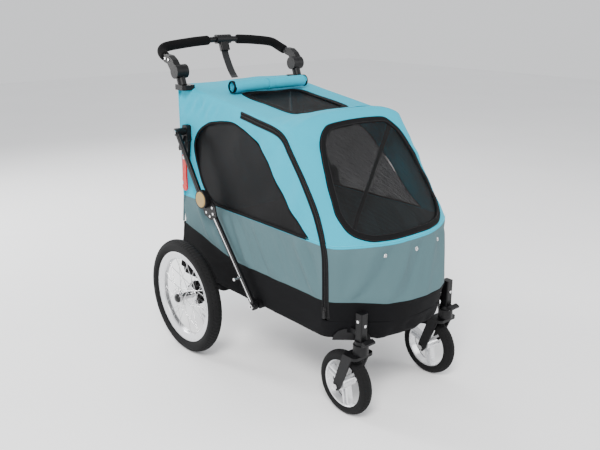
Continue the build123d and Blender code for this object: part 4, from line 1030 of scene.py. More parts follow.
# ---- nets
V2, F = triangulate(FRONT_WIN_S + (FRONT_WIN_S - [0, 684]) * 0.02, [], 11.0)
P = to_row(front(V2[:, 0], V2[:, 1]))
o = sheet_body("front_net", P, F, M["mesh_front"], thick=0.5, lift=-1.2, centre=DC, disp=lambda Q: 1.6 * vnoise(Q, 90, 8.0))
ride(o, "front_door", "front_window", slot="mesh_black")
door_soft(o)

for side, sg in (("right", -1.0), ("left", 1.0)):
    w = SIDE_WIN_V.copy()
    c = w.mean(0)
    w = c + (w - c) * 1.012
    V2, F = triangulate(w, [], 11.0)
    P = to_row(upper(V2[:, 0], V2[:, 1] * sg))
    o = sheet_body("side_net_" + side, P, F, M["mesh_side"], thick=0.5, lift=-1.3, disp=lambda Q: -1.5 + 2.6 * vnoise(Q, 120, 1.0) + creases(Q, (0, 0.5, 1), 60, 300, 2.0, 5.5))
    ride(o, "root", "side_windows", slot="mesh_black")
    soft(o)

w = TOP_WIN.copy()
c = w.mean(0)
V2, F = triangulate(c + (w - c) * 1.02, [], 11.0)
P = to_row(upper(V2[:, 0], V2[:, 1]))
o = sheet_body("roof_net", P, F, M["mesh_top"], thick=0.5, lift=-1.3, disp=lambda Q: -3.0 + 1.5 * vnoise(Q, 90, 1.0))
ride(o, "root", "top_window", slot="mesh_black")
soft(o)


# ---- bindings round the windows
def path_normals(fn, a, b, e=1.0):
    pa = fn(a + e, b) - fn(a - e, b)
    pb = fn(a, b + e) - fn(a, b - e)
    n = np.cross(pa, pb)
    return n / np.maximum(1e-9, np.linalg.norm(n, axis=1))[:, None]


def outward(pts, n, centre):
    s = np.sign(((pts - np.asarray(centre, float)) * n).sum(1))
    return n * np.where(s == 0, 1, s)[:, None]


def binding(name, fn, loop, width, height, mat, body, node=None, centre=None, soften=soft, slot="mesh_black", disp=None, stitch=None, closed=True, base=-1.0):
    q = resample(loop, 6.0, closed)
    pts = to_row(fn(q[:, 0], q[:, 1]))
    n = path_normals(lambda a, b: fn(a, b), q[:, 0], q[:, 1])
    n = outward(pts, n, CENTRE if centre is None else centre)
    if disp is not None:
        pts = pts + n * disp(pts)[:, None]
    o = sweep(name, pts, pad_section(width / 2, height, 5, base), mat, normals=n, closed=closed)
    ride(o, body, *([node] if node else []), slot=slot)
    soften(o)
    if stitch is not None:
        t, nn, b = frames_along(pts, n, closed)
        for k, off in enumerate(stitch):
            st = stitches(f"{name}_stitch_{k}", pts + b * off + n * height, n, M["thread_dark"], pitch=5.2, length=3.4, closed=closed)
            ride(st, body, slot=slot)
            soften(st)
    return pts, n


binding("front_window_binding", front, FRONT_WIN_S, 21, 4.2, M["binding"], "front_door", centre=DC, soften=door_soft, disp=front_disp, stitch=(-7.6, 7.6))
for side, sg in (("right", -1.0), ("left", 1.0)):
    binding("side_window_binding_" + side, lambda a, b, sg=sg: upper(a, b * sg), SIDE_WIN_V, 9, 2.0, M["binding"], "root", disp=canopy_disp, stitch=None)
for side, sg in (("right", -1.0), ("left", 1.0)):
    yq = np.arange(-58.0, -546.0, -6.0)
    for zc_, nm, w_, h_ in ((530.4, "side_window_hem_", 4.6, 3.0),):
        pts = to_row(np.stack([sg * (side_x(yq, np.full(len(yq), zc_)) + 0.6), yq, np.full(len(yq), zc_)], 1))
        o = sweep(nm + side, pts, pad_section(w_, h_, 4, -1.6), M["binding"], normals=np.tile([sg, 0, 0], (len(pts), 1)))
        ride(o, "root", slot="mesh_black")
        soft(o)
binding("roof_window_binding", upper, TOP_WIN, 24, 2.6, M["binding"], "root", disp=canopy_disp, stitch=(-8.5, 8.5))

# ---- seams where the turquoise meets the grey
for side, sg in (("right", -1.0), ("left", 1.0)):
    q = np.array([(y, 527.2) for y in np.arange(BACK_Y, float(zip_y(527)) + 10, -6.0)])
    pts = to_row(np.stack([sg * side_x(q[:, 0], q[:, 1]), q[:, 0], q[:, 1]], 1))
    n = np.tile([sg, 0, 0], (len(pts), 1))
    o = sweep("band_seam_" + side, pts, pad_section(2.6, 1.2, 3, -0.8), M["teal"], normals=n)
    ride(o, "root", slot="cloth_upper")
    soft(o)
    st = stitches("band_stitch_" + side, pts + [0, 0, 6] + n * 0.2, n, M["thread_teal"], pitch=4.6)
    ride(st, "root", slot="cloth_upper")
    soft(st)
    q = np.array([(y, float(np.interp(y, TUBTOP_Y, TUBTOP_Z)) + 0.4) for y in np.arange(BACK_Y, -626, -6.0)])
    pts = to_row(np.stack([sg * side_x(q[:, 0], q[:, 1]), q[:, 0], q[:, 1]], 1))
    o = sweep("tub_seam_" + side, pts, pad_section(3.0, 1.6, 3, -0.8), M["binding"], normals=n[:1].repeat(len(pts), 0))
    ride(o, "root", slot="cloth_tub")
sl = np.linspace(-(zip_s(527.0) - 4), zip_s(527.0) - 4, 130)
pts = to_row(front(sl, np.full(len(sl), 527.2)))
n = outward(pts, path_normals(front, sl, np.full(len(sl), 527.2)), DC)
o = sweep("front_seam", pts, pad_section(2.6, 1.2, 3, -0.8), M["teal"], normals=n)
ride(o, "front_door", slot="cloth_upper")
door_soft(o)
st = stitches("front_stitch", pts + [0, 0, 6] + n * 0.6, n, M["thread_teal"], pitch=4.6)
ride(st, "front_door", slot="cloth_upper")
door_soft(st)
sl = np.linspace(-(zip_s(361.0) - 4), zip_s(361.0) - 4, 130)
pts = to_row(front(sl, np.full(len(sl), 361.4)))
n = outward(pts, path_normals(front, sl, np.full(len(sl), 361.4)), DC)
o = sweep("foot_seam", pts, pad_section(3.0, 1.6, 3, -0.8), M["binding"], normals=n)
ride(o, "front_door", slot="cloth_tub")
door_soft(o)

# =====================================================================
# the black tub under the band
# =====================================================================
def full_loop(z, n=None):
    """Closed outline at height z (smoothed), counter-clockwise seen from above."""
    k = int(round((z - 245.0) / 670.0 * (len(Z_GRID) - 1)))
    h = LEVELS[k][1]
    return np.vstack([h, (h * [-1, 1])[::-1][:-1]])


def tub_top(x, y):
    t = np.interp(y, TUBTOP_Y, TUBTOP_Z)
    inside_door = y < -628.0
    return np.where(inside_door, 302.4, t)


base = resample(full_loop(361.0), 9.0, True)
NB = len(base)
seg = np.linalg.norm(np.roll(base, -1, 0) - base, axis=1)
arc = np.concatenate([[0], np.cumsum(seg)[:-1]])
rows = []
R_EDGE = 14.0
for a in (90, 67, 45, 22):
    rows.append(("round", math.radians(a)))
for k in range(15):
    rows.append(("wall", k / 14))
V = np.zeros((len(rows), NB, 3))
# arc position of each column, signed from the nose
s_col = np.zeros(NB)
h_s, h_p = LEVELS[int(round((361.0 - 245.0) / 670.0 * (len(Z_GRID) - 1)))]
total = h_s[-1]
for i, (x0, y0) in enumerate(base):
    d = np.hypot(h_p[:, 0] - abs(x0), h_p[:, 1] - y0)
    j = int(np.argmin(d))
    s_col[i] = h_s[j]
sgn = np.where(base[:, 0] < 0, -1.0, 1.0)
back = (np.abs(base[:, 0]) < 240) & (base[:, 1] > 60)


def tub_xy(z):
    """Columns of the tub at height z; the back runs straight across."""
    k = np.clip((z - 245.0) / 116.0, 0, 1.3)
    q = on_outline(s_col, np.full(NB, min(z, 400.0)))
    q[:, 0] *= sgn
    yb = 150 - 22 * min(1.0, k) - (max(0.0, z - 361) * 0.13)
    q[back, 0] = base[back, 0]
    q[back, 1] = yb
    return q


tops = tub_top(base[:, 0], base[:, 1])
tops[back] = 427.0
for r, (kind, val) in enumerate(rows):
    if kind == "round":
        inset = R_EDGE - R_EDGE * math.cos(val)
        z = 245.0 + R_EDGE - R_EDGE * math.sin(val)
        q = tub_xy(245.0)
        c = np.array([0.0, -260.0])
        dirn = q - c
        nxt = np.roll(q, -1, 0) - np.roll(q, 1, 0)
        nn = np.stack([nxt[:, 1], -nxt[:, 0]], 1)
        nn /= np.maximum(1e-9, np.linalg.norm(nn, axis=1))[:, None]
        nn *= np.sign((nn * dirn).sum(1))[:, None]
        q = q - nn * inset
        V[r, :, 0], V[r, :, 1], V[r, :, 2] = q[:, 0], q[:, 1], z
    else:
        zz = (245.0 + R_EDGE) + (tops - 245.0 - R_EDGE) * val
        q = on_outline(s_col, np.minimum(zz, 470.0))
        q[:, 0] *= sgn
        yb = 150 - 22 * np.clip((zz - 245) / 116, 0, 1) - np.maximum(0, zz - 361) * 0.13
        q[back, 0] = base[back, 0]
        q[back, 1] = yb[back]
        V[r, :, 0], V[r, :, 1], V[r, :, 2] = q[:, 0], q[:, 1], zz
F = []
for r in range(len(rows) - 1):
    for i in range(NB):
        j = (i + 1) % NB
        a, b, c, d = r * NB + i, r * NB + j, (r + 1) * NB + j, (r + 1) * NB + i
        F += [(a, b, c), (a, c, d)]
P = to_row(V.reshape(-1, 3))
F = np.array(F)


def tub_disp(Q):
    y = Q[:, 1] - AX
    top_ = np.clip((np.where(y < -628, 302, np.interp(y, TUBTOP_Y, TUBTOP_Z)) - Q[:, 2]) / 16, 0, 1)
    d = 2.6 * vnoise(Q, 110, 2.0) * top_
    d += creases(Q, (0, 1, 0.05), 30, 300, 2.4, 6.6) * top_
    return np.clip(d, -4, 3.2) + 0.4 * vnoise(Q, 26, 5.0)


o = sheet_body("tub_cloth", P, F, M["tub"], thick=1.8, disp=tub_disp, centre=(0, fy(-260), 320))
ride(o, "root", "tub", slot="cloth_tub")

# floor of the tub, sagging a little between the tubes
rim = V[0, :, :2]
V2, F = triangulate(rim, [], 14.0)
zf_ = 245.0 - 5.0 * np.clip(dist_to(V2, rim) / 60, 0, 1) * (0.6 + 0.4 * np.cos(V2[:, 0] / 60) ** 2)
P = to_row(np.stack([V2[:, 0], V2[:, 1], zf_], 1))
o = sheet_body("tub_floor", P, F, M["tub"], thick=1.6, disp=lambda Q: 0.8 * vnoise(Q, 40, 1.0), centre=(0, fy(-260), 320))
ride(o, "root", slot="cloth_tub")

# rear pocket that hangs under the floor
def super_loop(hx, y0, y1, r, n=10):
    pts = []
    for cx, cy, a0 in ((hx - r, y1 - r, 0), (-hx + r, y1 - r, 90), (-hx + r, y0 + r, 180), (hx - r, y0 + r, 270)):
        for k in range(n + 1):
            a = math.radians(a0 + 90 * k / n)
            pts.append((cx + r * math.cos(a), cy + r * math.sin(a)))
    return np.array(pts)


prof = [(0, 247.0), (0, 238.0), (1.5, 231.0), (5.0, 225.5), (11.0, 222.0)]
rings = []
ring0 = resample(super_loop(245, -107, 149, 20), 10.0, True)
for inset, z in prof:
    n2 = np.roll(ring0, -1, 0) - np.roll(ring0, 1, 0)
    nn = np.stack([n2[:, 1], -n2[:, 0]], 1)
    nn /= np.linalg.norm(nn, axis=1)[:, None]
    rings.append(np.column_stack([ring0 - nn * inset, np.full(len(ring0), z)]))
nr = len(ring0)
V = np.vstack(rings)
F = []
for r in range(len(rings) - 1):
    for i in range(nr):
        j = (i + 1) % nr
        F += [(r * nr + i, (r + 1) * nr + i, (r + 1) * nr + j), (r * nr + i, (r + 1) * nr + j, r * nr + j)]
F = np.array(F)
o1 = sheet_body("pocket_wall", to_row(V), F, M["tub"], thick=1.6, disp=lambda Q: 1.2 * vnoise(Q, 60, 3.0), centre=(0, fy(20), 245))
V2, F2 = triangulate(rings[-1][:, :2], [], 14.0)
zz = 222.0 - 1.0 * np.clip(dist_to(V2, rings[-1][:, :2]) / 40, 0, 1)
o2 = sheet_body("pocket_floor", to_row(np.column_stack([V2, zz])), F2, M["tub"], thick=1.6, centre=(0, fy(20), 245))
o = merged("tub_pocket", [o1, o2])
ride(o, "root", slot="cloth_tub")

# =====================================================================
# back panel
# =====================================================================
gx, gz = 48, 50
V, F = [], []
for j in range(gz + 1):
    z = 427.0 + (897.0 - 427.0) * j / gz
    y = float(np.interp(z, [361, 527, 915], [128, 106, 108])) - 1.0
    for i in range(gx + 1):
        x = -237.0 + 474.0 * i / gx
        V.append((x, y, z))
for j in range(gz):
    for i in range(gx):
        a = j * (gx + 1) + i
        F += [(a, a + 1, a + gx + 2), (a, a + gx + 2, a + gx + 1)]


def back_disp(Q):
    e = np.clip((237 - np.abs(Q[:, 0])) / 40, 0, 1) * np.clip((Q[:, 2] - 427) / 40, 0, 1) * np.clip((897 - Q[:, 2]) / 40, 0, 1)
    return (4.0 * vnoise(Q, 150, 2.0) + creases(Q, (0.1, 0, 1), 60, 400, 3.0, 9.1) - 2.0) * e


o = sheet_body("back_panel", to_row(V), np.array(F), M["teal"], thick=1.5, disp=back_disp)
ride(o, "rear_frame", "rear_panel", slot="cloth_upper")
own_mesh(o)
# corded corner seams between the sides and the back
for side, sg in (("right", -1.0), ("left", 1.0)):
    zz = np.arange(430.0, 903.0, 6.0)
    yy = np.interp(zz, [361, 527, 915], [126, 105, 107])
    pts = to_row(np.column_stack([np.full(len(zz), sg * 245.5), yy, zz]))
    for k, (lo_, hi_, key, slot_) in enumerate(((0, 17, "band", "cloth_band"), (16, len(zz), "teal", "cloth_upper"))):
        o = sweep(f"corner_seam_{side}_{k}", pts[lo_:hi_], circle(3.6, 10), M[key], sharp=None)
        ride(o, "root", slot=slot_)
        soft(o)
# welt round the back panel, without its double zipper line
q = np.array([(-228, 440), (-228, 884), (228, 884), (228, 440)], float)
q = resample(q, 8.0)
pts = to_row(np.column_stack([q[:, 0], np.interp(q[:, 1], [361, 527, 915], [128, 106, 108]) - 1.0, q[:, 1]]))
n = np.tile([0, 1.0, 0], (len(pts), 1))
o = sweep("back_welt", pts, pad_section(6, 2.0, 3, -1.6), M["binding"], normals=n)
ride(o, "rear_frame", slot="tape_black")
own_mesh(o)

# =====================================================================
# zippers
# =====================================================================
for side, sg in (("right", -1.0), ("left", 1.0)):
    zp = resample(catmull(ZPATH, 8), 5.0)
    pts = to_row(np.stack([sg * side_x(zp[:, 0], zp[:, 1]), zp[:, 0], zp[:, 1]], 1))
    e = 2.0
    a = np.stack([sg * side_x(zp[:, 0] + e, zp[:, 1]), zp[:, 0] + e, zp[:, 1]], 1) - np.stack([sg * side_x(zp[:, 0] - e, zp[:, 1]), zp[:, 0] - e, zp[:, 1]], 1)
    b = np.stack([sg * side_x(zp[:, 0], zp[:, 1] + e), zp[:, 0], zp[:, 1] + e], 1) - np.stack([sg * side_x(zp[:, 0], zp[:, 1] - e), zp[:, 0], zp[:, 1] - e], 1)
    n = np.cross(a, b)
    n /= np.linalg.norm(n, axis=1)[:, None]
    n = outward(pts, n, CENTRE)
    tape = sweep("zipper_tape_" + side, pts, pad_section(11.5, 2.2, 3, -1.2), M["tape"], normals=n)
    ride(tape, "root", "zipper_tapes", slot="tape_black")
    soft(tape)
    # two welts with the coil lying between them
    t, nn, bb = frames_along(pts, n)
    for k, off in enumerate((-6.2, 6.2)):
        w_ = sweep(f"zipper_welt_{side}_{k}", pts + bb * off + n * 1.2, pad_section(4.4, 2.4, 4, -1.2), M["binding"], normals=n)
        ride(w_, "root", slot="tape_black")
        soft(w_)
        st = stitches(f"zipper_stitch_{side}_{k}", pts + bb * (off * 1.45) + n * 2.7, n, M["thread_dark"], pitch=5.5, length=3.6)
        ride(st, "root", slot="tape_black")
        soft(st)
    fine = resample(pts, 1.25)
    idx = [int(np.argmin(((pts - p_) ** 2).sum(1))) for p_ in fine]
    sc = np.array([1.0 if i % 2 else 0.62 for i in range(len(fine))])
    coil = sweep("zipper_coil_" + side, fine + n[idx] * 1.6, circle(1.5, 6, rx=2.0), M["plastic"], normals=n[idx], scale=sc, sharp=None)
    ride(coil, "root", slot="tape_black")
    soft(coil)
    # slider and its pull tab near the grey band
    c = pts[int(np.argmin(np.abs(zp[:, 1] - 338)))]
    nn_ = n[int(np.argmin(np.abs(zp[:, 1] - 338)))]
    zl = np.array([0, 0, 1.0])
    side_v = np.cross(nn_, zl)
    parts = []
    body = [c + nn_ * 3.5 + zl * k for k in (-6, -5, 0, 5, 6)]
    parts.append(sweep("slider", body, pad_section(4.6, 3.2, 4, -1.0), M["plastic_gloss"], normals=[nn_] * 5, scale=[0.7, 0.95, 1.0, 0.95, 0.7]))
    tab = [c + nn_ * 7.0 + zl * (-4 - k) + nn_ * (0.02 * k) for k in range(0, 26, 2)]
    parts.append(sweep("tab", tab, pad_section(3.4, 1.6, 4, 0.0), M["plastic_gloss"], normals=[nn_] * len(tab), scale=[0.75 + 0.25 * math.sin(math.pi * k / 12) + (0.2 if k > 8 else 0) for k in range(len(tab))]))
    ring = [c + nn_ * (6.5 + 2.6 * math.sin(a_)) + zl * (-2 + 3.4 * math.cos(a_)) for a_ in np.linspace(0, 2 * math.pi, 17)[:-1]]
    parts.append(sweep("ring", ring, circle(0.8, 8), M["plastic_gloss"], closed=True))
    o = merged("zipper_slider_" + side, parts)
    ride(o, "root", slot="black_plastic")

# =====================================================================
# rolled window cover on the roof
# =====================================================================
RC = np.array([fy(-71), 908.5])
seg_a = 64
V, F = [], []
nx = 90
for i in range(nx + 1):
    x = -157.0 + 314.0 * i / nx
    pinch = 1.0 - 0.11 * math.exp(-((x / 17.0) ** 2)) - 0.05 * math.exp(-(((abs(x) - 157) / 10.0) ** 2))
    for k in range(seg_a):
        a = 2 * math.pi * k / seg_a
        r = 20.0 * pinch * (0.955 + 0.02 * mnoise.noise(Vector((x / 46, math.cos(a) * 1.2, math.sin(a) * 1.2))) + 0.012 * mnoise.noise(Vector((x / 14, math.cos(a) * 3, math.sin(a) * 3 + 5))))
        # the free edge of the roll lies on the outside
        if 0.30 < (a / (2 * math.pi)) < 0.36:
            r -= 1.1 * math.sin((a / (2 * math.pi) - 0.30) / 0.06 * math.pi)
        sag = 1.5 * math.sin(math.pi * i / nx)
        V.append((x, RC[0] + r * math.cos(a), RC[1] + 0.0 * sag + r * math.sin(a)))
for i in range(nx):
    for k in range(seg_a):
        l = (k + 1) % seg_a
        F.append((i * seg_a + k, (i + 1) * seg_a + k, (i + 1) * seg_a + l, i * seg_a + l))
outerroll = put("roll_skin", V, F, M["teal"], sharp=60)
parts = [outerroll]
# wound ends: a spiral of cloth layers
for sg in (-1, 1):
    V, F = [], []
    turns, per = 5.5, 40
    m_ = int(turns * per)
    for i in range(m_ + 1):
        a = 2 * math.pi * i / per
        r = 2.0 + (19.0 - 2.0) * i / m_
        for dr, dx in ((0.0, -4.0), (0.35, 0.9), (1.15, 1.2), (1.9, 0.9), (2.2, -4.0)):
            V.append((sg * (151.0 + dx * 0.9), RC[0] + (r + dr - 1.0) * math.cos(a), RC[1] + (r + dr - 1.0) * math.sin(a)))
    for i in range(m_):
        for k in range(4):
            F.append((i * 5 + k, i * 5 + k + 1, (i + 1) * 5 + k + 1, (i + 1) * 5 + k))
    parts.append(put("roll_end", V, F, M["teal"] if sg > 0 else M["teal"], sharp=60))
    # black edge binding of the rolled strip shows as a ring near the end
    ring = [(sg * 152.6, RC[0] + 19.0 * math.cos(a), RC[1] + 19.4 * math.sin(a)) for a in np.linspace(0, 2 * math.pi, 49)[:-1]]
    parts.append(sweep("roll_edge", ring, pad_section(5.6, 3.0, 3, -2.6), M["binding"], normals=[(0, math.cos(a), math.sin(a)) for a in np.linspace(0, 2 * math.pi, 49)[:-1]], closed=True))
o = merged("window_cover_roll", parts)
ride(o, "root", "cover_roll", slot="cloth_upper")
soft(o)
# tie loop round the roll, without its fastener
ang = np.linspace(0, 2 * math.pi, 61)[:-1]
ring = [(0, RC[0] + 18.9 * math.cos(a), RC[1] + 18.9 * math.sin(a)) for a in ang]
o = sweep("roll_tie", ring, pad_section(11.5, 1.7, 3, -0.6), M["teal"], normals=[(0, math.cos(a), math.sin(a)) for a in ang], closed=True)
ride(o, "root", slot="cloth_upper")
soft(o)
# strip of cover that runs from the roll down to the roof
q = np.linspace(-150, 150, 60)
V, F = [], []
nrow = 12
for j in range(nrow + 1):
    t_ = j / nrow
    y = -71 + 8 + 12 * t_
    for x in q:
        zr = float(roof_z(np.array([x]), np.array([y]))[0])
        z = (RC[1] - 17.0) * (1 - t_) + (zr + 1.0) * t_
        V.append((x, y, z + 0.8 * math.sin(x / 19.0) * math.sin(math.pi * t_)))
for j in range(nrow):
    for i in range(len(q) - 1):
        a = j * len(q) + i
        F += [(a, a + 1, a + len(q) + 1), (a, a + len(q) + 1, a + len(q))]
o = sheet_body("cover_root", to_row(V), np.array(F), M["teal"], thick=1.4, centre=(0, fy(-71), 860))
ride(o, "root", slot="cloth_upper")
soft(o)

# =====================================================================
# cushion inside
# =====================================================================
def cushion():
    hx, y0, y1, zb, h = 181.0, -585.0, 61.0, 279.2, 25.0
    loop = resample(super_loop(hx, y0, y1, 34, 8), 12.0, True)
    nl = len(loop)
    c = loop.mean(0)
    prof_ = [(9.0, 0.0), (3.0, 2.5), (0.6, 6.5), (0.0, 12.0), (0.6, 17.0), (3.5, 21.5), (10.0, 24.2)]
    V = []
    for inset, z in prof_:
        d = c - loop
        k = inset / np.linalg.norm(d, axis=1)
        V.append(np.column_stack([loop + d * k[:, None], np.full(nl, zb + z)]))
    V = np.vstack(V)
    F = []
    for r in range(len(prof_) - 1):
        for i in range(nl):
            j = (i + 1) % nl
            F.append((r * nl + i, r * nl + j, (r + 1) * nl + j, (r + 1) * nl + i))
    for top in (True, False):
        edge = V[-nl:, :2] if top else V[:nl, :2]
        V2, F2 = triangulate(edge, [], 16.0)
        off = len(V)
        # quilting lines across make soft crowned channels
        d = dist_to(V2, edge)
        crown_ = np.clip(d / 60, 0, 1) ** 0.6
        ch = np.abs(np.sin((V2[:, 1] + 262) / 130 * math.pi)) ** 0.45
        z = (zb + 24.2 + 3.0 * crown_ * ch - 2.2 * (1 - ch) * np.clip(d / 25, 0, 1)) if top else np.full(len(V2), zb)
        V = np.vstack([V, np.column_stack([V2, z])])
        F += [tuple(int(q_) + off for q_ in (f if top else f[::-1])) for f in F2]
    o = put("cushion_pad", to_row(V), F, M["cushion"], sharp=None)
    bm = bmesh.new()
    bm.from_mesh(o.data)
    bmesh.ops.remove_doubles(bm, verts=bm.verts, dist=0.002)
    bmesh.ops.recalc_face_normals(bm, faces=bm.faces)
    bm.to_mesh(o.data)
    bm.free()
    o.data.shade_smooth()
    return o


pad = cushion()
# one inflation pass settles the cover over its filling
src = pad.data.copy()
rm = pad.modifiers.new("even", "REMESH")
rm.mode = "VOXEL"
rm.voxel_size = 0.0062
apply_mods(pad)
pad.data.shade_smooth()
rest_co = np.array([v.co for v in pad.data.vertices])
cl = pad.modifiers.new("Cloth", "CLOTH")
cs = cl.settings
cs.quality = 4
cs.mass = 0.2
cs.tension_stiffness = cs.compression_stiffness = 18
cs.shear_stiffness = 8
cs.bending_stiffness = 0.4
cs.use_pressure = True
cs.uniform_pressure_force = 3.2
cs.shrink_min = -0.015
cs.effector_weights.gravity = 0
cl.collision_settings.use_collision = False
bpy.context.scene.frame_start, bpy.context.scene.frame_end = 1, 20
cl.point_cache.frame_start, cl.point_cache.frame_end = 1, 20
for f_ in range(1, 15):
    bpy.context.scene.frame_set(f_)
apply_mods(pad)
bpy.context.scene.frame_set(1)
co = np.array([v.co for v in pad.data.vertices])
mv = co - rest_co
ln = np.linalg.norm(mv, axis=1)
cap = 0.0045
mv *= (np.minimum(ln, cap) / np.maximum(ln, 1e-9))[:, None]
co = rest_co + mv
co[:, 2] = np.clip(co[:, 2], 0.2788, 0.3085)
co[:, 0] = np.clip(co[:, 0], -0.1835, 0.1835)
pad.data.vertices.foreach_set("co", co.astype(np.float32).ravel())
pad.data.update()
ride(pad, "root", "floor_cushion", slot="cushion_cloth")
loop = resample(super_loop(181.5, -585.5, 61.5, 34, 8), 6.0, True)
pts = to_row(np.column_stack([loop, np.full(len(loop), 291.5)]))
c = np.array([0, fy(-262), 291.5])
nn = pts - c
nn[:, 2] = 0
o = sweep("cushion_piping", pts, circle(2.4, 8), M["binding"], normals=nn, closed=True)
ride(o, "root", slot="cushion_cloth")

# ===================================================================== snaps on the grey band, without the flap that covers the zipper's corner
# snaps on the grey band, and the flap that covers the zipper's corner
# =====================================================================
parts = []
for sx, sz in ((-113.0, 497.0), (0.0, 497.0), (113.0, 497.0)):
    s_ = s_at_x(np.array([sx]), np.array([sz]))
    p0 = to_row(front(s_, np.array([sz])))
    n0 = outward(p0, path_normals(front, s_, np.array([sz])), DC)
    p0 = p0 + n0 * (BAND_DISP(p0)[:, None])
    p0, n0 = p0[0], n0[0]
    u_ = np.cross(n0, [0, 0, 1.0])
    u_ /= np.linalg.norm(u_)
    w_ = np.cross(n0, u_)
    V, F = [], []
    pr = [(6.4, -0.4), (6.4, 0.7), (5.6, 1.5), (4.9, 1.5), (4.5, 1.1), (3.9, 1.5), (3.0, 2.4), (1.5, 2.9), (0.0, 3.0)]
    sn = 28
    for r_, h_ in pr[:-1]:
        for k in range(sn):
            a = 2 * math.pi * k / sn
            V.append(p0 + n0 * h_ + (u_ * math.cos(a) + w_ * math.sin(a)) * r_)
    V.append(p0 + n0 * pr[-1][1])
    for r_ in range(len(pr) - 2):
        for k in range(sn):
            l = (k + 1) % sn
            F.append((r_ * sn + k, r_ * sn + l, (r_ + 1) * sn + l, (r_ + 1) * sn + k))
    last = (len(pr) - 2) * sn
    for k in range(sn):
        F.append((last + k, last + (k + 1) % sn, len(V) - 1))
    parts.append(put("snap", V, F, M["steel"], sharp=40))
o = merged("front_snaps", parts)
ride(o, "front_door", "door_snaps", slot="steel_bright")

# =====================================================================
# handle: webbing strap from the sleeve to the back edge of the roof
# =====================================================================
line = catmull([(186, 1004), (178, 984), (168, 966), (159, 951), (150, 938), (139, 925), (127, 913)], 8)
pts = np.array([(0.0, y + AX, z) for y, z in line])
t_, n_, b_ = frames_along(pts, np.tile([0, 1.0, 0.6], (len(pts), 1)))
strap = sweep("handle_strap_web", pts, pad_section(14.6, 2.0, 3, -0.6), M["webbing"], normals=n_)
bpy.context.view_layer.update()
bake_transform(strap)
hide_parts("handle_strap")

# =====================================================================
# foam grips
# =====================================================================
for side, sx in (("right", -1.0), ("left", 1.0)):
    g = catmull([(sx * 258.4, 158, 996), (sx * 257.4, 172, 1001), (sx * 254.5, 186, 1007), (sx * 248, 198, 1015), (sx * 236, 204.4, 1022.5), (sx * 218, 204.6, 1027), (sx * 190, 202, 1031), (sx * 120, 197.6, 1038), (sx * 60, 196, 1041.5)], 10)
    g = resample(g, 3.0)
    pts = to_row(g)
    m_ = len(pts)
    sc = []
    for i in range(m_):
        e = min(i, m_ - 1 - i) * 3.0
        k = 1.0 if e > 7 else math.sqrt(max(0.0, 1 - ((7 - e) / 7) ** 2)) * 0.28 + 0.72
        sc.append(k * (1.0 + 0.006 * mnoise.noise(Vector((i * 0.09, sx, 0.0)))))
    o = sweep("foam_grip_" + side, pts, circle(16.4, 36), M["foam"], scale=sc, sharp=70)
    ride(o, "handlebar", *(["grips"] if sx < 0 else []), slot="grip_foam")

# =====================================================================
# tyres
# =====================================================================
def tyre(name, cx, cy, cz, od, w, r_in, mat, lug, body, node, slot_name):
    """Round tyre with a raised block tread: od outer diameter, w width, r_in where it meets the rim."""
    rc = od / 2 - w / 2
    prof_, kind = [], []
    n_arc = 44
    a0 = math.acos(max(-1.0, min(1.0, (r_in - rc) / (w / 2)))) if abs(r_in - rc) < w / 2 else 2.4
    for i in range(n_arc + 1):
        a = -a0 + 2 * a0 * i / n_arc
        prof_.append((w / 2 * math.sin(a), rc + w / 2 * math.cos(a)))
        kind.append(a)
    seg_n = lug["n"] * lug["div"]
    V, F = [], []
    m_ = len(prof_)
    for i in range(seg_n):
        th = 2 * math.pi * i / seg_n
        for k, (px, pr_) in enumerate(prof_):
            a = kind[k]
            dep = 0.0
            aa = abs(a)
            if aa < lug["reach"]:
                # chevron grooves between the blocks
                ph = (i / lug["div"] + lug["lean"] * aa / lug["reach"] * (1 if lug.get("chev", True) else math.copysign(1, a))) % 1.0
                groove = min(ph, 1 - ph) * lug["pitch_mm"]
                dep = -lug["depth"] * max(0.0, 1 - max(0.0, groove - lug["gap"] * 0.35) / (lug["gap"] * 0.4)) if groove < lug["gap"] * 0.75 else 0.0
                if aa < lug.get("mid", 0.0):
                    dep = 0.0
                for c_ in lug["rings"]:
                    if abs(aa - c_) < lug["ring_w"]:
                        dep = min(dep, -lug["depth"] * (1 - (abs(aa - c_) / lug["ring_w"]) ** 2))
            # moulded ribs on the sidewall
            elif lug.get("wall"):
                for c_ in lug["wall"]:
                    if abs(aa - c_) < 0.05:
                        dep = 0.7 * (1 - (abs(aa - c_) / 0.05) ** 2)
            nx_, nr_ = math.sin(a), math.cos(a)
            V.append((cx + px + nx_ * dep, cy + (pr_ + nr_ * dep) * math.cos(th), cz + (pr_ + nr_ * dep) * math.sin(th)))
    for i in range(seg_n):
        j = (i + 1) % seg_n
        for k in range(m_):
            l = (k + 1) % m_
            F.append((i * m_ + k, j * m_ + k, j * m_ + l, i * m_ + l))
    o = put(name, V, F, mat, sharp=38)
    bm = bmesh.new()
    bm.from_mesh(o.data)
    bmesh.ops.recalc_face_normals(bm, faces=bm.faces)
    bm.to_mesh(o.data)
    bm.free()
    ride(o, body, node, slot=slot_name)
    return o


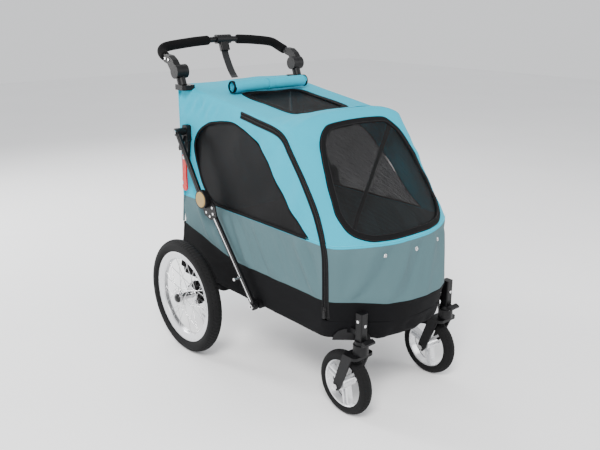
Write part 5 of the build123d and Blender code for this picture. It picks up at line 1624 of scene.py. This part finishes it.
LO_, HI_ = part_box("rear_tyre_left")
R_OD = (HI_.z - LO_.z) * 1000
R_W = (HI_.x - LO_.x) * 1000
R_CX = (HI_.x + LO_.x) * 500
LO2, HI2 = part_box("front_tyre_left")
F_OD = (HI2.z - LO2.z) * 1000
F_W = (HI2.x - LO2.x) * 1000
F_CX = (HI2.x + LO2.x) * 500
F_CY = (HI2.y + LO2.y) * 500
for side, sg in (("right", -1.0), ("left", 1.0)):
    tyre("rear_tread_" + side, sg * R_CX, fy(0), R_OD / 2, R_OD, R_W, 160.0, M["tyre"],
         dict(n=92, div=7, reach=1.02, lean=0.55, pitch_mm=2 * math.pi * R_OD / 2 / 92, gap=3.4, depth=1.7, rings=[0.36, 0.74], ring_w=0.05, mid=0.10, wall=[1.35, 1.75]),
         "rear_wheel_" + side, "rear_tyre_" + side, "tyre_black")
    tyre("caster_tread_" + side, sg * F_CX, F_CY, F_OD / 2, F_OD, F_W, F_OD / 2 - 27.0, M["tyre"],
         dict(n=58, div=7, reach=0.95, lean=0.5, pitch_mm=2 * math.pi * F_OD / 2 / 58, gap=3.0, depth=1.3, rings=[0.42, 0.8], ring_w=0.06, mid=0.12, wall=[1.4]),
         "front_wheel_" + side, "front_tyre_" + side, "tyre_black")

# rear axle caps, without wheel nuts
for side, sg in (("right", -1.0), ("left", 1.0)):
    lo_, hi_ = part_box("rear_hub_" + side)
    xe = (lo_.x if sg < 0 else hi_.x) * 1000
    o = revolve("hub_cap_" + side, [(0.0, 0.4), (0.0, 15.5), (sg * 3.0, 15.2), (sg * 7.0, 12.6), (sg * 9.5, 8.0), (sg * 10.2, 0.4)], (xe - sg * 0.5, fy(0), R_OD / 2), M["plastic_gloss"], seg=48, closed=False)
    ride(o, "rear_wheel_" + side, slot="black_plastic")

# painted highlight: a bright metal strip along the lower struts' outer edge stands in for the highlight on the black
# tube
for side, sg in (("right", -1.0), ("left", 1.0)):
    a_ = np.array([sg * 281.0, fy(-322) + 10.0, 254.0 + 12.0])
    b_ = np.array([sg * 281.0, fy(-76) - 22.0, 556.0 - 27.0])
    d_ = (b_ - a_) / np.linalg.norm(b_ - a_)
    up_ = np.cross([1.0, 0, 0], d_)
    if up_[2] < 0:
        up_ = -up_
    pts = [a_ + (b_ - a_) * t_ + up_ * 2.0 for t_ in np.linspace(0, 1, 24)]
    o = sweep("strut_highlight_strip_" + side, pts, pad_section(3.6, 1.8, 4, -3.0), M["chrome_edge"], normals=[(sg, 0, 0)] * 24)
    ride(o, "strut_lower_" + side, slot="steel_bright")

# =====================================================================
# paint the CAD nodes that show
# =====================================================================
LOOK = {
    "steel_bright": "steel", "rim_silver": "rim", "spoke_steel": "steel", "tyre_black": "tyre", "brake_black": "plastic", "frame_black": "powder",
    "axle_black": "powder", "black_plastic": "plastic", "lock_plastic": "plastic", "cloth_upper": "teal", "cloth_band": "band", "cloth_tub": "tub", "mesh_black": "binding",
    "tape_black": "tape", "cushion_cloth": "cushion", "board_black": "board", "grip_foam": "foam", "hook_red": "red", "button_sand": "sand", "strap_web": "webbing",
}
SLOT_OF = {s_["node"]: s_["material_slot"] for s_ in frame["record"]["subparts"]}
for node, o in NODES.items():
    key = LOOK.get(SLOT_OF.get(node), "plastic")
    if node.startswith("front_rim"):
        key = "rim_white"
    if node.startswith("rear_spokes"):
        key = "steel"
    if o.material_slots:
        for s_ in o.material_slots:
            s_.material = M[key]
    else:
        o.data.materials.append(M[key])

# =====================================================================
# stage, light, camera
# =====================================================================
def plain_mat(name, col, rough):
    m, nt, b = _nodes(name)
    vec = _coord(nt)
    nt.links.new(_ramp(nt, _noise(nt, vec, 1.2, 2.0), [(0.3, shade(col, 0.985)), (0.7, shade(col, 1.01))]), b.inputs["Base Color"])
    b.inputs["Roughness"].default_value = rough
    b.inputs["Specular IOR Level"].default_value = 0.2
    return m


n = 40
V, F = [], []
for j in range(n + 1):
    for i in range(n + 1):
        V.append((-9000 + 18000 * i / n, -7000 + 16000 * j / n, 0.0))
for j in range(n):
    for i in range(n):
        a = j * (n + 1) + i
        F.append((a, a + 1, a + n + 2, a + n + 1))
floor = put("floor", V, F, plain_mat("studio_floor", (0.93, 0.93, 0.935), 0.75))

world = bpy.data.worlds.new("studio")
bpy.context.scene.world = world
world.use_nodes = True
bg = world.node_tree.nodes["Background"]
bg.inputs["Color"].default_value = (0.97, 0.98, 1.0, 1)
bg.inputs["Strength"].default_value = 1.0


def area(name, loc, aim, size, power, col=(1, 1, 1)):
    d = bpy.data.lights.new(name, "AREA")
    d.shape = "RECTANGLE"
    d.size, d.size_y = size
    d.energy = power
    d.color = col
    o = bpy.data.objects.new(name, d)
    bpy.context.scene.collection.objects.link(o)
    o.location = loc
    o.rotation_mode = "QUATERNION"
    o.rotation_quaternion = (Vector(aim) - Vector(loc)).to_track_quat("-Z", "Y")
    return o


area("key", (-2.2, -2.0, 3.0), (0, -0.1, 0.5), (1.2, 1.2), 190, (1.0, 0.985, 0.965))
area("fill", (2.6, -2.2, 1.6), (0, 0, 0.5), (1.4, 2.0), 45)
area("rim", (0.6, 3.0, 2.4), (0, 0.1, 0.7), (2.4, 1.6), 60)
area("side", (-1.7, 3.0, 1.5), (-0.25, -0.1, 0.5), (0.9, 1.4), 85)

cam_d = bpy.data.cameras.new("camera")
cam_d.sensor_width = 36.0
cam_d.lens = 722.3 / 600.0 * 36.0
cam_d.clip_start, cam_d.clip_end = 0.05, 60.0
cam = bpy.data.objects.new("camera", cam_d)
bpy.context.scene.collection.objects.link(cam)
EYE = Vector((-1.536, -1.7271, 1.188))
BACKV = Vector((-0.6228, -0.7220, 0.3014)).normalized()
RIGHT = Vector((0, 0, 1)).cross(BACKV).normalized()
UP = BACKV.cross(RIGHT)
cam.matrix_world = Matrix(((RIGHT.x, UP.x, BACKV.x, EYE.x), (RIGHT.y, UP.y, BACKV.y, EYE.y), (RIGHT.z, UP.z, BACKV.z, EYE.z), (0, 0, 0, 1)))
bpy.context.scene.camera = cam
